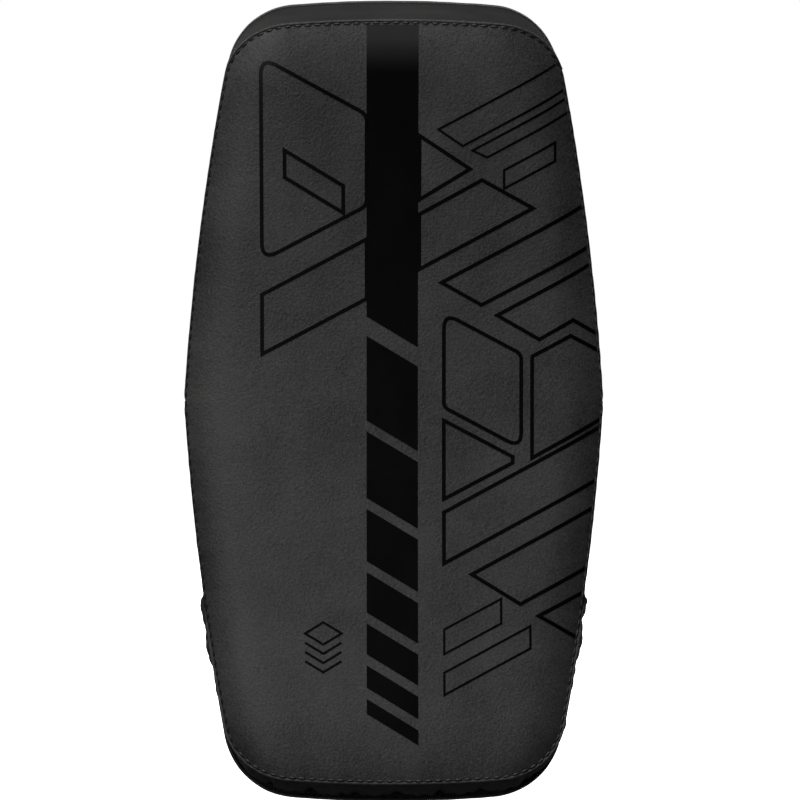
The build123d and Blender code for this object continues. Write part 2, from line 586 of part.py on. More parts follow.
def make_zip():
    plane = across_plane(ZIP_S)
    tape_n = -SKIN + ZIP_TAPE / 2
    row_inner = ZIP_ROW_GAP / 2
    spine_inner = row_inner + ZIP_TOOTH_REACH
    spine_outer = spine_inner + ZIP_SPINE
    tape_width = ZIP_SLOT / 2 - spine_outer - LAYER_GAP
    row_length = 2 * (ZIP_HALF_LENGTH - ZIP_SPINE_SHORT)
    count = int(2 * ZIP_HALF_LENGTH / ZIP_TOOTH_PITCH) - 1
    for name, side in (("upper", 1), ("lower", -1)):
        tape_middle = side * (spine_outer + tape_width / 2)
        tape = Pos(0, tape_n, tape_middle) * Box(2 * ZIP_HALF_LENGTH, ZIP_TAPE, tape_width)
        write(name + "_zip_tape", plane * tape)
        spine_middle = side * (spine_inner + ZIP_SPINE / 2 - LAYER_GAP)
        row = Pos(0, tape_n, spine_middle) * Box(row_length, ZIP_TOOTH_HEIGHT, ZIP_SPINE)
        tooth_middle = side * (row_inner + ZIP_TOOTH_REACH / 2)
        stagger = side * ZIP_TOOTH_PITCH / 4
        teeth = []
        for i in range(count):
            x = (i - (count - 1) / 2) * ZIP_TOOTH_PITCH + stagger
            tooth = Box(ZIP_TOOTH_LENGTH, ZIP_TOOTH_HEIGHT, ZIP_TOOTH_REACH)
            teeth.append(Pos(x, tape_n, tooth_middle) * tooth)
        write(name + "_zip_teeth", plane * (row + teeth))

    stops = []
    for side in (-1, 1):
        stop = Box(ZIP_STOP_LENGTH, ZIP_TOOTH_HEIGHT, 2 * spine_outer)
        stop_x = side * (ZIP_HALF_LENGTH - ZIP_STOP_INSET)
        stops.append((plane * Pos(stop_x, tape_n, 0) * stop).solid())
    write("zip_end_stops", Compound(children=stops))

    plate_n = ZIP_TOOTH_HEIGHT / 2 + SLIDER_CLEARANCE + SLIDER_PLATE / 2
    plate = Box(SLIDER_LENGTH, SLIDER_PLATE, SLIDER_WIDTH)
    plate = fillet(plate.edges().filter_by(Axis.Y), SLIDER_CORNER)
    slider = Pos(0, plate_n, 0) * plate
    slider += Pos(0, -plate_n, 0) * plate
    slider += Box(SLIDER_LENGTH / 3, 2 * plate_n, SLIDER_WEB)
    lip_height = plate_n - ZIP_TAPE / 2 - SLIDER_CLEARANCE
    lip_middle = ZIP_TAPE / 2 + SLIDER_CLEARANCE + lip_height / 2
    lip_width = SLIDER_WIDTH / 2 - spine_outer - SLIDER_CLEARANCE
    for side in (-1, 1):
        for face in (-1, 1):
            lip = Box(SLIDER_LENGTH * SLIDER_LIP_SHARE, lip_height, lip_width)
            slider += Pos(0, face * lip_middle, side * (SLIDER_WIDTH - lip_width) / 2) * lip
    top = plate_n + SLIDER_PLATE / 2
    post_length, post_width = BAIL_POST
    post_height = BAIL_HEIGHT + BAIL_BAR
    for side in (-1, 1):
        post = Box(post_length, post_height, post_width)
        slider += Pos(0, top + post_height / 2, side * (BAIL_WIDTH - post_width) / 2) * post
    slider += Pos(0, top + BAIL_HEIGHT, 0) * Cylinder(BAIL_BAR, BAIL_WIDTH)
    rest = plane * Pos(SLIDER_REST_X, tape_n, 0)
    write("zip_slider", rest * slider)

    eye = Cylinder(PULL_EYE + PULL_EYE_WALL, PULL_WIDTH) - Cylinder(PULL_EYE, PULL_WIDTH)
    stem_length = PULL_LENGTH * PULL_STEM_SHARE
    stem = Box(stem_length, PULL_THICKNESS, PULL_WIDTH)
    stem = Pos(PULL_EYE + PULL_STEM_START + stem_length / 2, 0, 0) * stem
    paddle_length = PULL_LENGTH - stem_length
    paddle = Box(paddle_length, PULL_THICKNESS, PULL_PADDLE_WIDTH)
    paddle = fillet(paddle.edges().filter_by(Axis.Y), PULL_CORNER)
    paddle = Pos(PULL_EYE + stem_length + paddle_length / 2, 0, 0) * paddle
    pull = eye + stem + paddle
    write("zip_pull", rest * Pos(0, top + BAIL_HEIGHT, 0) * pull)


# ---- writing ----------------------------------------------------------------------------------------

def write(node, shape):
    """Write one node with the middle of the hand grip at the origin."""
    export_step(TO_GRIP * shape, "parts/" + node + ".step")


os.makedirs("parts", exist_ok=True)
make_cover()
make_filling()
make_grip()
make_forearm_strap("upper_strap", UPPER_STRAP_S)
make_forearm_strap("lower_strap", LOWER_STRAP_S)
make_carry_handle()
make_zip()
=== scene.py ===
import math

import bmesh
import bpy
from mathutils import Matrix, Vector, kdtree, noise


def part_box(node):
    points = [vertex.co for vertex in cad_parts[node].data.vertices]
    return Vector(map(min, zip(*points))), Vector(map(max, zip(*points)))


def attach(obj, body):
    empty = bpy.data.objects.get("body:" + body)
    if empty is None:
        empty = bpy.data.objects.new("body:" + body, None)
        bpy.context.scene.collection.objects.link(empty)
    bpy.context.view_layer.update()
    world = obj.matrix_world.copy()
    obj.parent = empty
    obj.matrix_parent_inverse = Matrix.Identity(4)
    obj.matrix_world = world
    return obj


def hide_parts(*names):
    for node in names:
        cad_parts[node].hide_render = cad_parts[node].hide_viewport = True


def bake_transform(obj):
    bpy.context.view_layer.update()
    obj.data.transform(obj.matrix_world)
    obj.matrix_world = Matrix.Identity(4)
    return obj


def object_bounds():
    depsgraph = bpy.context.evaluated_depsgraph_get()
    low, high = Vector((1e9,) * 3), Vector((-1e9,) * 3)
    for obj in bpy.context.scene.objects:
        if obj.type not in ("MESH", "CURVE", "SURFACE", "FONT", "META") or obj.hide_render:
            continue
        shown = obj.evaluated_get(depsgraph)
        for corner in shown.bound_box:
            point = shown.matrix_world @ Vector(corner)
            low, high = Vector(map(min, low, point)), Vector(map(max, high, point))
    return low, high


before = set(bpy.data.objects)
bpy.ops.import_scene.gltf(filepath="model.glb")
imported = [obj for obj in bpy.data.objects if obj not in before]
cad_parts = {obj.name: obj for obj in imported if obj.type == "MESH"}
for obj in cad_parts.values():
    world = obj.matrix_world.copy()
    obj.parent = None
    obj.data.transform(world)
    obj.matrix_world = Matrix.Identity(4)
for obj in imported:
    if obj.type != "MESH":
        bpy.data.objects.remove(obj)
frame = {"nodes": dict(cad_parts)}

cad_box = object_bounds()
MM = 0.001
TAU = 2 * math.pi

# ---- driving sizes, millimetres ------------------------------------------------------------------

FACE_RADIUS = 1300.0
PAD_THICKNESS = 125.0
BACK_RADIUS = FACE_RADIUS + PAD_THICKNESS
MID_RADIUS = FACE_RADIUS + PAD_THICKNESS / 2
END_ANGLE = math.radians(13.8)
HALF_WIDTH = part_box("strike_panel")[1][0] / MM
CORNER_HALF_WIDTH = 131.0
SIDE_RADIUS = 2240.0
END_BOW_RADIUS = 1030.0
CORNER_RADIUS = 60.0
AXIS_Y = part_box("back_panel_upper")[1][1] / MM - BACK_RADIUS
AXIS_Z = (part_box("strike_panel")[0][2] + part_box("strike_panel")[1][2]) / 2 / MM

OUTLINE_STEP = 3.2            # spacing of mesh points along the outline
RING_LIMIT = 48.0             # insets up to here follow the outline; further in they shrink to the middle
SEAM_INSET = 1.5              # front seam, in from the wall
END_SEAM_DROP = 5.0           # front seam at the ends, back from the strike surface
SIDE_SEAM_DROP = 12.5         # and along the sides
SEAM_TURN = (84.0, 142.0)     # the drop changes between these distances from the middle
ROLL_WIDTH = 46.0             # how far in the face starts to roll back towards its seam
ROLL_POWER = 2.8
GATHER_TOP_H = -163.0         # arc height where the gathered wall begins
COVER_THICKNESS = 1.4
WALL_SWELL = 0.9              # how far the plain wall bulges
GATHER_SWELL = 4.2            # how far the gathered wall bulges along the sides
GATHER_PITCH = 36.0           # spacing of its puffs
CREASE_PITCH = 12.0           # spacing of the small creases near the gathered wall's seams

# arc heights of the fittings, along the back surface
GRIP_S = 190.0
STRAP_S = {"upper": 68.0, "lower": -74.0}
HANDLE_S = -160.0
VENT_S = (-45.0, -85.0, -125.0)
ZIP_S = -272.0


# ---- the bent pad --------------------------------------------------------------------------------

def place(x, h, r):
    """Point of the pad, in metres."""
    a = h / MID_RADIUS
    return Vector((x, AXIS_Y + r * math.cos(a), AXIS_Z + r * math.sin(a))) * MM


def arc_points(centre, radius, start, end, step):
    """Points of an arc with their outward normals, the last one left out."""
    count = max(2, round(abs(end - start) * radius / step))
    for i in range(count):
        a = start + (end - start) * i / count
        normal = Vector((math.cos(a), math.sin(a)))
        yield centre + normal * radius, normal


def quarter_outline():
    """Upper right quarter of the pad's outline, from mid-height up to the middle of the top."""
    height = MID_RADIUS * math.tan(END_ANGLE)
    end_centre = Vector((0, height - END_BOW_RADIUS))
    corner_z = end_centre.y + math.sqrt(END_BOW_RADIUS ** 2 - CORNER_HALF_WIDTH ** 2)
    low, high = Vector((HALF_WIDTH, 0)), Vector((CORNER_HALF_WIDTH, corner_z))
    chord = high - low
    outward = Vector((chord.y, -chord.x)).normalized()
    side_centre = (low + high) / 2 - outward * math.sqrt(SIDE_RADIUS ** 2 - chord.length_squared / 4)
    # the corner's circle touches the side's and the end's from inside
    from_side, from_end = SIDE_RADIUS - CORNER_RADIUS, END_BOW_RADIUS - CORNER_RADIUS
    between = end_centre - side_centre
    along = (from_side ** 2 - from_end ** 2 + between.length_squared) / (2 * between.length)
    across = math.sqrt(from_side ** 2 - along ** 2)
    unit = between.normalized()
    corner_centre = side_centre + unit * along + Vector((-unit.y, unit.x)) * across
    if corner_centre.x < 0:
        corner_centre = side_centre + unit * along - Vector((-unit.y, unit.x)) * across
    to_side = corner_centre - side_centre
    to_end = corner_centre - end_centre
    side_end = math.atan2(to_side.y, to_side.x)
    corner_end = math.atan2(to_end.y, to_end.x)
    side_start = math.atan2(-side_centre.y, HALF_WIDTH - side_centre.x)
    points = list(arc_points(side_centre, SIDE_RADIUS, side_start, side_end, OUTLINE_STEP))
    points += arc_points(corner_centre, CORNER_RADIUS, side_end, corner_end, OUTLINE_STEP * 0.8)
    points += arc_points(end_centre, END_BOW_RADIUS, corner_end, math.pi / 2, OUTLINE_STEP)
    return [(p.x, p.y, n.x, n.y) for p, n in points]


def full_outline():
    """Whole outline, counter-clockwise from the right at mid-height: x, h, outward normal, length."""
    quarter = quarter_outline()
    top = (0.0, MID_RADIUS * math.tan(END_ANGLE), 0.0, 1.0)
    upper = quarter + [top] + [(-x, z, -a, b) for x, z, a, b in reversed(quarter[1:])]
    corner = (-HALF_WIDTH, 0.0, -1.0, 0.0)
    lower = [(-x, -z, -a, -b) for x, z, a, b in upper]
    upper[0] = (HALF_WIDTH, 0.0, 1.0, 0.0)
    lower[0] = corner
    loop, length = [], 0.0
    for x, z, a, b in upper + lower:
        h = MID_RADIUS * math.atan(z / MID_RADIUS)
        if loop:
            length += math.hypot(x - loop[-1][0], h - loop[-1][1])
        loop.append((x, h, a, b, length))
    return loop


OUTLINE = full_outline()
NEAREST = kdtree.KDTree(len(OUTLINE))
for number, sample in enumerate(OUTLINE):
    NEAREST.insert((sample[0], sample[1], 0), number)
NEAREST.balance()


def smooth_step(value, low, high):
    t = min(1.0, max(0.0, (value - low) / (high - low)))
    return t * t * (3 - 2 * t)


def ripple(x, y, size, seed=0.0):
    """Smooth random height from -1 to 1 that varies over about size millimetres."""
    return noise.noise(Vector((x / size, y / size, seed)))


def seam_drop(x):
    """How far back the front seam lies from the strike surface."""
    return END_SEAM_DROP + (SIDE_SEAM_DROP - END_SEAM_DROP) * smooth_step(abs(x), *SEAM_TURN)


def face_radius(x, h, depth, along):
    """Radius of the strike surface at depth in from the wall, along the outline's length."""
    roll = max(0.0, 1 - (depth - SEAM_INSET) / (ROLL_WIDTH - SEAM_INSET))
    drop = seam_drop(x) * roll ** ROLL_POWER
    pucker = 0.55 * math.exp(-max(0.0, depth - 3) / 7) * ripple(along, 0, 11, 3.1)
    pucker += 0.5 * math.exp(-max(0.0, depth - 3) / 16) * ripple(along, depth * 0.3, 34, 7.7)
    waves = 0.55 * ripple(x, h, 95, 1.3) + 0.16 * ripple(x, h, 28, 5.9)
    inside = smooth_step(depth, 4, 60)
    return FACE_RADIUS + drop + pucker + waves * (0.35 + 0.65 * inside) - 1.2 * inside


def on_back(x, s, lift):
    """Point over the back surface at arc height s, in millimetres."""
    a = s / BACK_RADIUS
    r = BACK_RADIUS + lift
    return Vector((x, AXIS_Y + r * math.cos(a), AXIS_Z + r * math.sin(a)))


def on_face(x, h, lift=0.0):
    """Point on the strike surface, raised by lift."""
    _, number, _ = NEAREST.find((x, h, 0))
    qx, qh, nx, nh, along = OUTLINE[number]
    depth = -((x - qx) * nx + (h - qh) * nh)
    return place(x, h, face_radius(x, h, depth, along) - lift)


def ring_point(sample, depth):
    """x and h of the point at depth in from the wall, opposite an outline sample."""
    x, h, nx, nh, _ = sample
    inset = min(depth, RING_LIMIT)
    x, h = x - nx * inset, h - nh * inset
    if depth > RING_LIMIT:
        share = 1 - (depth - RING_LIMIT) / (HALF_WIDTH - RING_LIMIT)
        x, h = x * share, h * share
    return x, h


def ring(depth, radius_of):
    """Closed row of points at depth; radius_of takes x, h, depth and the length along the outline."""
    row = []
    for sample in OUTLINE:
        x, h = ring_point(sample, depth)
        row.append(place(x, h, radius_of(x, h, depth, sample[4])))
    return row


# ---- meshes --------------------------------------------------------------------------------------

def add_object(name, data):
    obj = bpy.data.objects.new(name, data)
    bpy.context.scene.collection.objects.link(obj)
    return obj


def cut_mesh(bm, point, normal, **drop):
    """Cuts every face along a plane; clear_inner or clear_outer drops one side."""
    geom = bm.verts[:] + bm.edges[:] + bm.faces[:]
    bmesh.ops.bisect_plane(bm, geom=geom, plane_co=point, plane_no=normal, **drop)


def make_object(name, verts, faces, uvs=None):
    mesh = bpy.data.meshes.new(name)
    mesh.from_pydata([tuple(v) for v in verts], [], faces)
    if uvs:
        layer = mesh.uv_layers.new(name="strip")
        for loop in mesh.loops:
            layer.data[loop.index].uv = uvs[loop.vertex_index]
    mesh.update()
    return add_object(name, mesh)


def tidy_mesh(obj, merge=0.00001):
    """Joins doubled points and turns every face outward."""
    bm = bmesh.new()
    bm.from_mesh(obj.data)
    bmesh.ops.remove_doubles(bm, verts=bm.verts, dist=merge)
    bmesh.ops.recalc_face_normals(bm, faces=bm.faces)
    bm.to_mesh(obj.data)
    bm.free()
    obj.data.update()


def shade_smooth(obj, angle=None):
    for polygon in obj.data.polygons:
        polygon.use_smooth = True
    if angle is not None:
        obj.data.set_sharp_from_angle(angle=math.radians(angle))


def loft(name, rows, closed=True, start_pole=None, end_pole=None):
    """Skin over rows of points of one length; poles close the first or the last row to a point."""
    verts = [v for row in rows for v in row]
    width = len(rows[0])
    faces = []
    for i in range(len(rows) - 1):
        for j in range(width if closed else width - 1):
            k = (j + 1) % width
            faces.append((i * width + j, i * width + k, (i + 1) * width + k, (i + 1) * width + j))
    for pole, row in ((start_pole, 0), (end_pole, len(rows) - 1)):
        if pole is not None:
            verts.append(pole)
            tip = len(verts) - 1
            for j in range(width):
                faces.append((row * width + j, row * width + (j + 1) % width, tip))
    return make_object(name, verts, faces)


def tube_faces(base, count, size):
    """Faces of a closed tube: count rings of size points each, from point number base on."""
    faces = []
    for i in range(count - 1):
        for j in range(size):
            k = (j + 1) % size
            a, b = base + i * size, base + (i + 1) * size
            faces.append((a + j, b + j, b + k, a + k))
    faces.append(tuple(base + j for j in range(size)))
    faces.append(tuple(base + (count - 1) * size + j for j in reversed(range(size))))
    return faces


def thicken(obj, thickness, offset=-1.0):
    """Gives a sheet its thickness as a closed solid."""
    tidy_mesh(obj)
    solid = obj.modifiers.new("thickness", "SOLIDIFY")
    solid.thickness = thickness * MM
    solid.offset = offset
    solid.use_even_offset = False
    bake_modifiers(obj)
    return obj


def points_back(obj):
    """True if the sheet's normals, once made consistent, point to the back."""
    tidy_mesh(obj)
    return sum(p.normal.y * p.area for p in obj.data.polygons) > 0


def thicken_behind(obj, thickness):
    """Thickens a sheet of the front towards the back."""
    thicken(obj, thickness, offset=1.0 if points_back(obj) else -1.0)


def thicken_before(obj, thickness):
    """Thickens a sheet of the back towards the front."""
    thicken(obj, thickness, offset=-1.0 if points_back(obj) else 1.0)


def bake_modifiers(obj):
    graph = bpy.context.evaluated_depsgraph_get()
    mesh = bpy.data.meshes.new_from_object(obj.evaluated_get(graph))
    obj.modifiers.clear()
    obj.data = mesh


def finish_piece(obj, material, body, nodes=(), smooth=42):
    """Material, smoothing, body and the CAD nodes that this piece stands for."""
    tidy_mesh(obj)
    shade_smooth(obj, smooth)
    obj.data.materials.clear()
    obj.data.materials.append(material)
    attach(obj, body)
    if nodes:
        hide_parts(*nodes)
    return obj


# ---- bent lines, straps and stitches -------------------------------------------------------------

THINNEST_RIM = 0.06           # share of a tape's thickness that is left at its very edge
STITCH_AROUND = 6
STITCH_ALONG = 5
FINE_STITCH = {"pitch": 3.6, "length": 2.8, "radius": 0.36}
STRAP_STITCH = {"pitch": 3.8, "length": 3.0, "radius": 0.38}
ZIP_STITCH = {"pitch": 4.2, "length": 3.3, "radius": 0.42}
EDGE_STITCH = {"pitch": 4.6, "length": 3.6, "radius": 0.42}
# the front seam's stitches are large so that they also paint the shade of the seam's groove
FACE_STITCH = {"pitch": 8.0, "length": 6.4, "radius": 1.0}
RUN_STEP = 4.0                # spacing of the points of a stitch run on the back


def rounded_path(points, radii, step=2.0):
    """Dense points of a bent line with rounded corners."""
    corners = [Vector(p) for p in points]
    path = [corners[0]]
    for before, corner, after, radius in zip(corners, corners[1:], corners[2:], radii):
        back, ahead = (before - corner).normalized(), (after - corner).normalized()
        half = back.angle(ahead) / 2
        cut = radius / math.tan(half)
        first, last = corner + back * cut, corner + ahead * cut
        centre = corner + (back + ahead).normalized() * (radius / math.sin(half))
        spoke, other = first - centre, last - centre
        turn = spoke.angle_signed(other)
        count = max(3, round(abs(turn) * radius / step))
        for i in range(count + 1):
            a = -turn * i / count
            path.append(centre + Matrix.Rotation(a, 2) @ spoke)
    path.append(corners[-1])
    dense = [path[0]]
    for a, b in zip(path, path[1:]):
        parts = max(1, round((b - a).length / step))
        dense += [a.lerp(b, i / parts) for i in range(1, parts + 1)]
    return dense


def headings(path):
    """Unit direction at each point of a path."""
    result = []
    for i in range(len(path)):
        result.append((path[min(i + 1, len(path) - 1)] - path[max(i - 1, 0)]).normalized())
    return result


class BackFrame:
    """Local axes on the back surface at arc height s: x across, n out from the back, t up."""

    def __init__(self, s):
        a = s / BACK_RADIUS
        self.n = Vector((0, math.cos(a), math.sin(a)))
        self.t = Vector((0, -math.sin(a), math.cos(a)))
        self.origin = Vector((0, AXIS_Y, AXIS_Z)) + self.n * BACK_RADIUS

    def at(self, x, n, t=0.0):
        return (self.origin + Vector((x, 0, 0)) + self.n * n + self.t * t) * MM


def edge_round(share, power=6.0):
    """1 in the middle of a strip, falling to 0 at its edges, for share from -1 to 1."""
    return max(0.0, 1 - abs(share) ** power) ** (1 / power)


def strip(name, path, local, width, low, high, across=13, wobble=0.0, puff=0.0, seed=0.0, power=8.0):
    """Strap along a 2-D path (x, n) and width wide up the back, as a closed solid with rounded edges.

    low and high are its two faces, measured out from the path; puff swells both faces in the middle.
    """
    spans = headings(path)
    length = 0.0
    verts, uvs = [], []
    middle, half = (low + high) / 2, (high - low) / 2
    for i, (point, heading) in enumerate(zip(path, spans)):
        if i:
            length += (point - path[i - 1]).length
        side = Vector((-heading.y, heading.x))
        for face in (1, -1):
            for j in range(across):
                share = (j / (across - 1) * 2 - 1) * face
                rim = max(THINNEST_RIM, edge_round(share, power))
                swell = puff * edge_round(share, 2.2)
                shift = wobble * ripple(length, share * width / 2, 26, seed)
                lift = middle + face * (half * rim + swell) + shift
                spot = point + side * lift
                verts.append(local.at(spot.x, spot.y, share * width / 2))
                uvs.append((length * MM, share * width / 2 * MM))
    return make_object(name, verts, tube_faces(0, len(path), 2 * across), uvs)


def stitch_mesh(name, runs, pitch, length, radius, squash=0.75):
    """Rows of stitches. A run is a list of (place, outward normal) pairs, in metres."""
    verts, faces = [], []
    around, along = STITCH_AROUND, STITCH_ALONG
    for run in runs:
        travelled, mark = 0.0, pitch * 0.5
        for (a, na), (b, nb) in zip(run, run[1:]):
            step = (b - a).length / MM
            if step < 1e-6:
                continue
            while mark <= travelled + step:
                share = (mark - travelled) / step
                middle = a.lerp(b, share)
                up = na.lerp(nb, share).normalized()
                tangent = (b - a).normalized()
                side = up.cross(tangent).normalized()
                base = len(verts)
                for i in range(along):
                    reach = i / (along - 1) * 2 - 1
                    fat = radius * math.sqrt(max(0.05, 1 - reach ** 2 * 0.95))
                    sink = -0.35 * radius * reach ** 2
                    for j in range(around):
                        turn = TAU * j / around
                        offset = tangent * (reach * length / 2) + side * (fat * math.cos(turn))
                        offset += up * (fat * squash * math.sin(turn) + sink + radius * 0.3)
                        verts.append(middle + offset * MM)
                for i in range(along - 1):
                    for j in range(around):
                        k = (j + 1) % around
                        p, q = base + i * around, base + (i + 1) * around
                        faces.append((p + j, p + k, q + k, q + j))
                faces.append(tuple(base + j for j in reversed(range(around))))
                faces.append(tuple(base + (along - 1) * around + j for j in range(around)))
                mark += pitch
            travelled += step
    return make_object(name, verts, faces)


def sew(name, runs, mats, body, size, colour="grey_thread"):
    """Makes the stitches of some runs as one piece."""
    seams = stitch_mesh(name, runs, **size)
    finish_piece(seams, mats[colour], body)


def strip_stitch_run(path, local, t, lift, start=0.0, end=1.0):
    """Stitch run lengthwise on a strap, at t across its width and lift out from its path."""
    spans = headings(path)
    first, last = int(start * (len(path) - 1)), int(end * (len(path) - 1))
    run = []
    for point, heading in list(zip(path, spans))[first:last + 1]:
        side = Vector((-heading.y, heading.x))
        spot = point + side * lift
        up = Vector((side.x, 0, 0)) + local.n * side.y
        if lift < 0:
            up = -up
        run.append((local.at(spot.x, spot.y, t), up))
    return run


def surface_run(points, lift, closed=False):
    """Stitch run over the curved back: points are x and arc height s on the back surface."""
    dense = []
    corners = points + points[:1] if closed else points
    for (x0, s0), (x1, s1) in zip(corners, corners[1:]):
        parts = max(1, round(math.hypot(x1 - x0, s1 - s0) / RUN_STEP))
        dense += [(x0 + (x1 - x0) * i / parts, s0 + (s1 - s0) * i / parts) for i in range(parts)]
    dense.append(corners[-1])
    run = []
    for x, s in dense:
        a = s / BACK_RADIUS
        normal = Vector((0, math.cos(a), math.sin(a)))
        centre = Vector((x, AXIS_Y, AXIS_Z)) + normal * (BACK_RADIUS + lift)
        run.append((centre * MM, normal))
    return run


# ---- materials -----------------------------------------------------------------------------------

class Nodes:
    """Small helper that adds and links shader nodes."""

    def __init__(self, name):
        self.material = bpy.data.materials.new(name)
        self.material.use_nodes = True
        self.tree = self.material.node_tree
        self.shader = next(n for n in self.tree.nodes if n.type == "BSDF_PRINCIPLED")
        self.coord = self.tree.nodes.new("ShaderNodeTexCoord").outputs["Object"]

    def add(self, kind, **values):
        node = self.tree.nodes.new(kind)
        for key, value in values.items():
            if key in node.inputs:
                node.inputs[key].default_value = value
            else:
                setattr(node, key, value)
        return node

    def link(self, out, socket):
        self.tree.links.new(out, socket)

    def strip_coord(self):
        return self.add("ShaderNodeUVMap", uv_map="strip").outputs["UV"]

    def noise(self, scale, detail=3.0, roughness=0.6, coord=None, distortion=0.0):
        node = self.add("ShaderNodeTexNoise", Scale=scale, Detail=detail, Roughness=roughness,
                        Distortion=distortion)
        self.link(coord or self.coord, node.inputs["Vector"])
        return node.outputs["Fac"]

    def cells(self, scale, coord=None, feature="F1", randomness=1.0):
        node = self.add("ShaderNodeTexVoronoi", feature=feature, Scale=scale, Randomness=randomness)
        self.link(coord or self.coord, node.inputs["Vector"])
        return node.outputs["Distance"]

    def math(self, operation, a, b=0.0, c=None):
        node = self.add("ShaderNodeMath", operation=operation)
        for socket, value in zip(node.inputs, (a, b, c)):
            if value is None:
                continue
            if isinstance(value, (int, float)):
                socket.default_value = value
            else:
                self.link(value, socket)
        return node.outputs[0]

    def ramp(self, factor, stops):
        node = self.add("ShaderNodeValToRGB")
        elements = node.color_ramp.elements
        while len(elements) < len(stops):
            elements.new(0.5)
        for element, (spot, colour) in zip(elements, stops):
            element.position = spot
            element.color = (*colour, 1) if len(colour) == 3 else colour
        self.link(factor, node.inputs["Fac"])
        return node.outputs["Color"]

    def bump(self, height, strength, distance, below=None):
        node = self.add("ShaderNodeBump", Strength=strength, Distance=distance)
        self.link(height, node.inputs["Height"])
        if below is not None:
            self.link(below, node.inputs["Normal"])
        return node.outputs["Normal"]

    def surface(self, **values):
        for key, value in values.items():
            socket = self.shader.inputs[key]
            if isinstance(value, (int, float, tuple)):
                socket.default_value = value
            else:
                self.link(value, socket)


COVER_GREY = 0.023
BAND_TOP = 314.0              # arc height where the printed band starts
FILM_HIGHLIGHT_LENGTH = 27.0              # length over which the band's print is lightened to the cover's grey at its top, a painted highlight where the face rolls up into the light


def grey(value, tint=0.0):
    return (value * (1 + tint * 0.4), value, value * (1 - tint))


def leather(name, value, grain=1.0, rough=0.6, spread=0.34, specular=0.22, tint=0.02, bumps=0.6):
    """Grained synthetic leather: cell grain, fine pores, cloudy colour and worn, smoother patches."""
    n = Nodes(name)
    cloud = n.noise(11.0, 5.0, 0.6)
    speckle = n.noise(560.0, 4.0, 0.75)
    tone = n.math("MULTIPLY_ADD", speckle, 0.75, n.math("MULTIPLY_ADD", cloud, 0.55, -0.15))
    dark, light = grey(value * (1 - spread), tint), grey(value * (1 + spread), tint)
    colour = n.ramp(tone, [(0.36, dark), (0.64, light)])
    pebble = n.cells(520.0 / grain, feature="SMOOTH_F1")
    pores = n.noise(1500.0 / grain, 3.0, 0.6)
    creases = n.noise(75.0, 5.0, 0.65, distortion=0.8)
    fine = n.bump(pebble, bumps, 0.0004)
    fine = n.bump(pores, bumps, 0.00025, fine)
    normal = n.bump(creases, 0.22, 0.0012, fine)
    gloss = n.math("MULTIPLY_ADD", cloud, 0.16, rough - 0.08)
    n.surface(**{"Base Color": colour, "Roughness": gloss, "Normal": normal,
                 "Specular IOR Level": specular})
    return n.material


def webbing(name, value, pitch=1.7, tint=0.02):
    """Woven polyester tape: diagonal herringbone ribs along the strip."""
    n = Nodes(name)
    uv = n.add("ShaderNodeSeparateXYZ")
    n.link(n.strip_coord(), uv.inputs[0])
    along, across = uv.outputs[0], uv.outputs[1]
    turn = TAU / (pitch * MM)
    zigzag = n.math("PINGPONG", across, 3.2 * MM)
    weft = n.math("SINE", n.math("MULTIPLY", n.math("ADD", along, zigzag), turn))
    warp = n.math("SINE", n.math("MULTIPLY", across, turn * 1.25))
    knit = n.math("MULTIPLY_ADD", n.math("MULTIPLY", weft, warp), 0.35, n.math("MULTIPLY", weft, 0.5))
    fuzz = n.noise(2600.0, 2.0, 0.7)
    height = n.math("MULTIPLY_ADD", fuzz, 0.7, knit)
    tone = n.math("MULTIPLY_ADD", knit, 0.3, n.math("MULTIPLY", n.noise(60.0), 0.9))
    colour = n.ramp(tone, [(0.1, grey(value * 0.55, tint)), (0.9, grey(value * 1.7, tint))])
    normal = n.bump(height, 0.75, 0.00035)
    n.surface(**{"Base Color": colour, "Roughness": 0.82, "Normal": normal,
                 "Sheen Weight": 0.25, "Sheen Roughness": 0.5, "Specular IOR Level": 0.25})
    return n.material


def thread(name, value):
    """Twisted bonded thread."""
    n = Nodes(name)
    twist = n.noise(1500.0, 2.0, 0.6)
    colour = n.ramp(twist, [(0.3, grey(value * 0.6)), (0.75, grey(value * 1.5))])
    n.surface(**{"Base Color": colour, "Roughness": 0.5, "Normal": n.bump(twist, 0.5, 0.0002),
                 "Specular IOR Level": 0.4})
    return n.material


def film(name, value):
    """Printed film on the leather, smoother than it and following its grain, lightened at its top by a
    painted highlight.
    """
    n = Nodes(name)
    cloud = n.noise(30.0, 3.0, 0.6)
    grain = n.cells(620.0, feature="SMOOTH_F1")
    split = n.add("ShaderNodeSeparateXYZ")
    n.link(n.coord, split.inputs[0])
    start = place(0, BAND_TOP, FACE_RADIUS).z
    # painted highlight: over its top the band's ink is mixed towards the cover's grey, where the face rolls
    # up into the light
    highlight_rise = n.math("MULTIPLY_ADD", split.outputs["Z"], 1 / (FILM_HIGHLIGHT_LENGTH * MM), 1 - start / (FILM_HIGHLIGHT_LENGTH * MM))
    painted_highlight = n.math("POWER", n.math("MINIMUM", n.math("MAXIMUM", highlight_rise, 0.0), 1.0), 1.3)
    ink = n.ramp(cloud, [(0.3, grey(value * 0.7)), (0.8, grey(value * 1.4))])
    mixed = n.add("ShaderNodeMixRGB", Color2=(*grey(COVER_GREY), 1))
    n.link(painted_highlight, mixed.inputs["Fac"])
    n.link(ink, mixed.inputs["Color1"])
    colour = mixed.outputs["Color"]
    gloss = n.math("MULTIPLY_ADD", cloud, 0.1, 0.32)
    n.surface(**{"Base Color": colour, "Roughness": gloss, "Normal": n.bump(grain, 0.22, 0.0002),
                 "Specular IOR Level": 0.06})
    return n.material


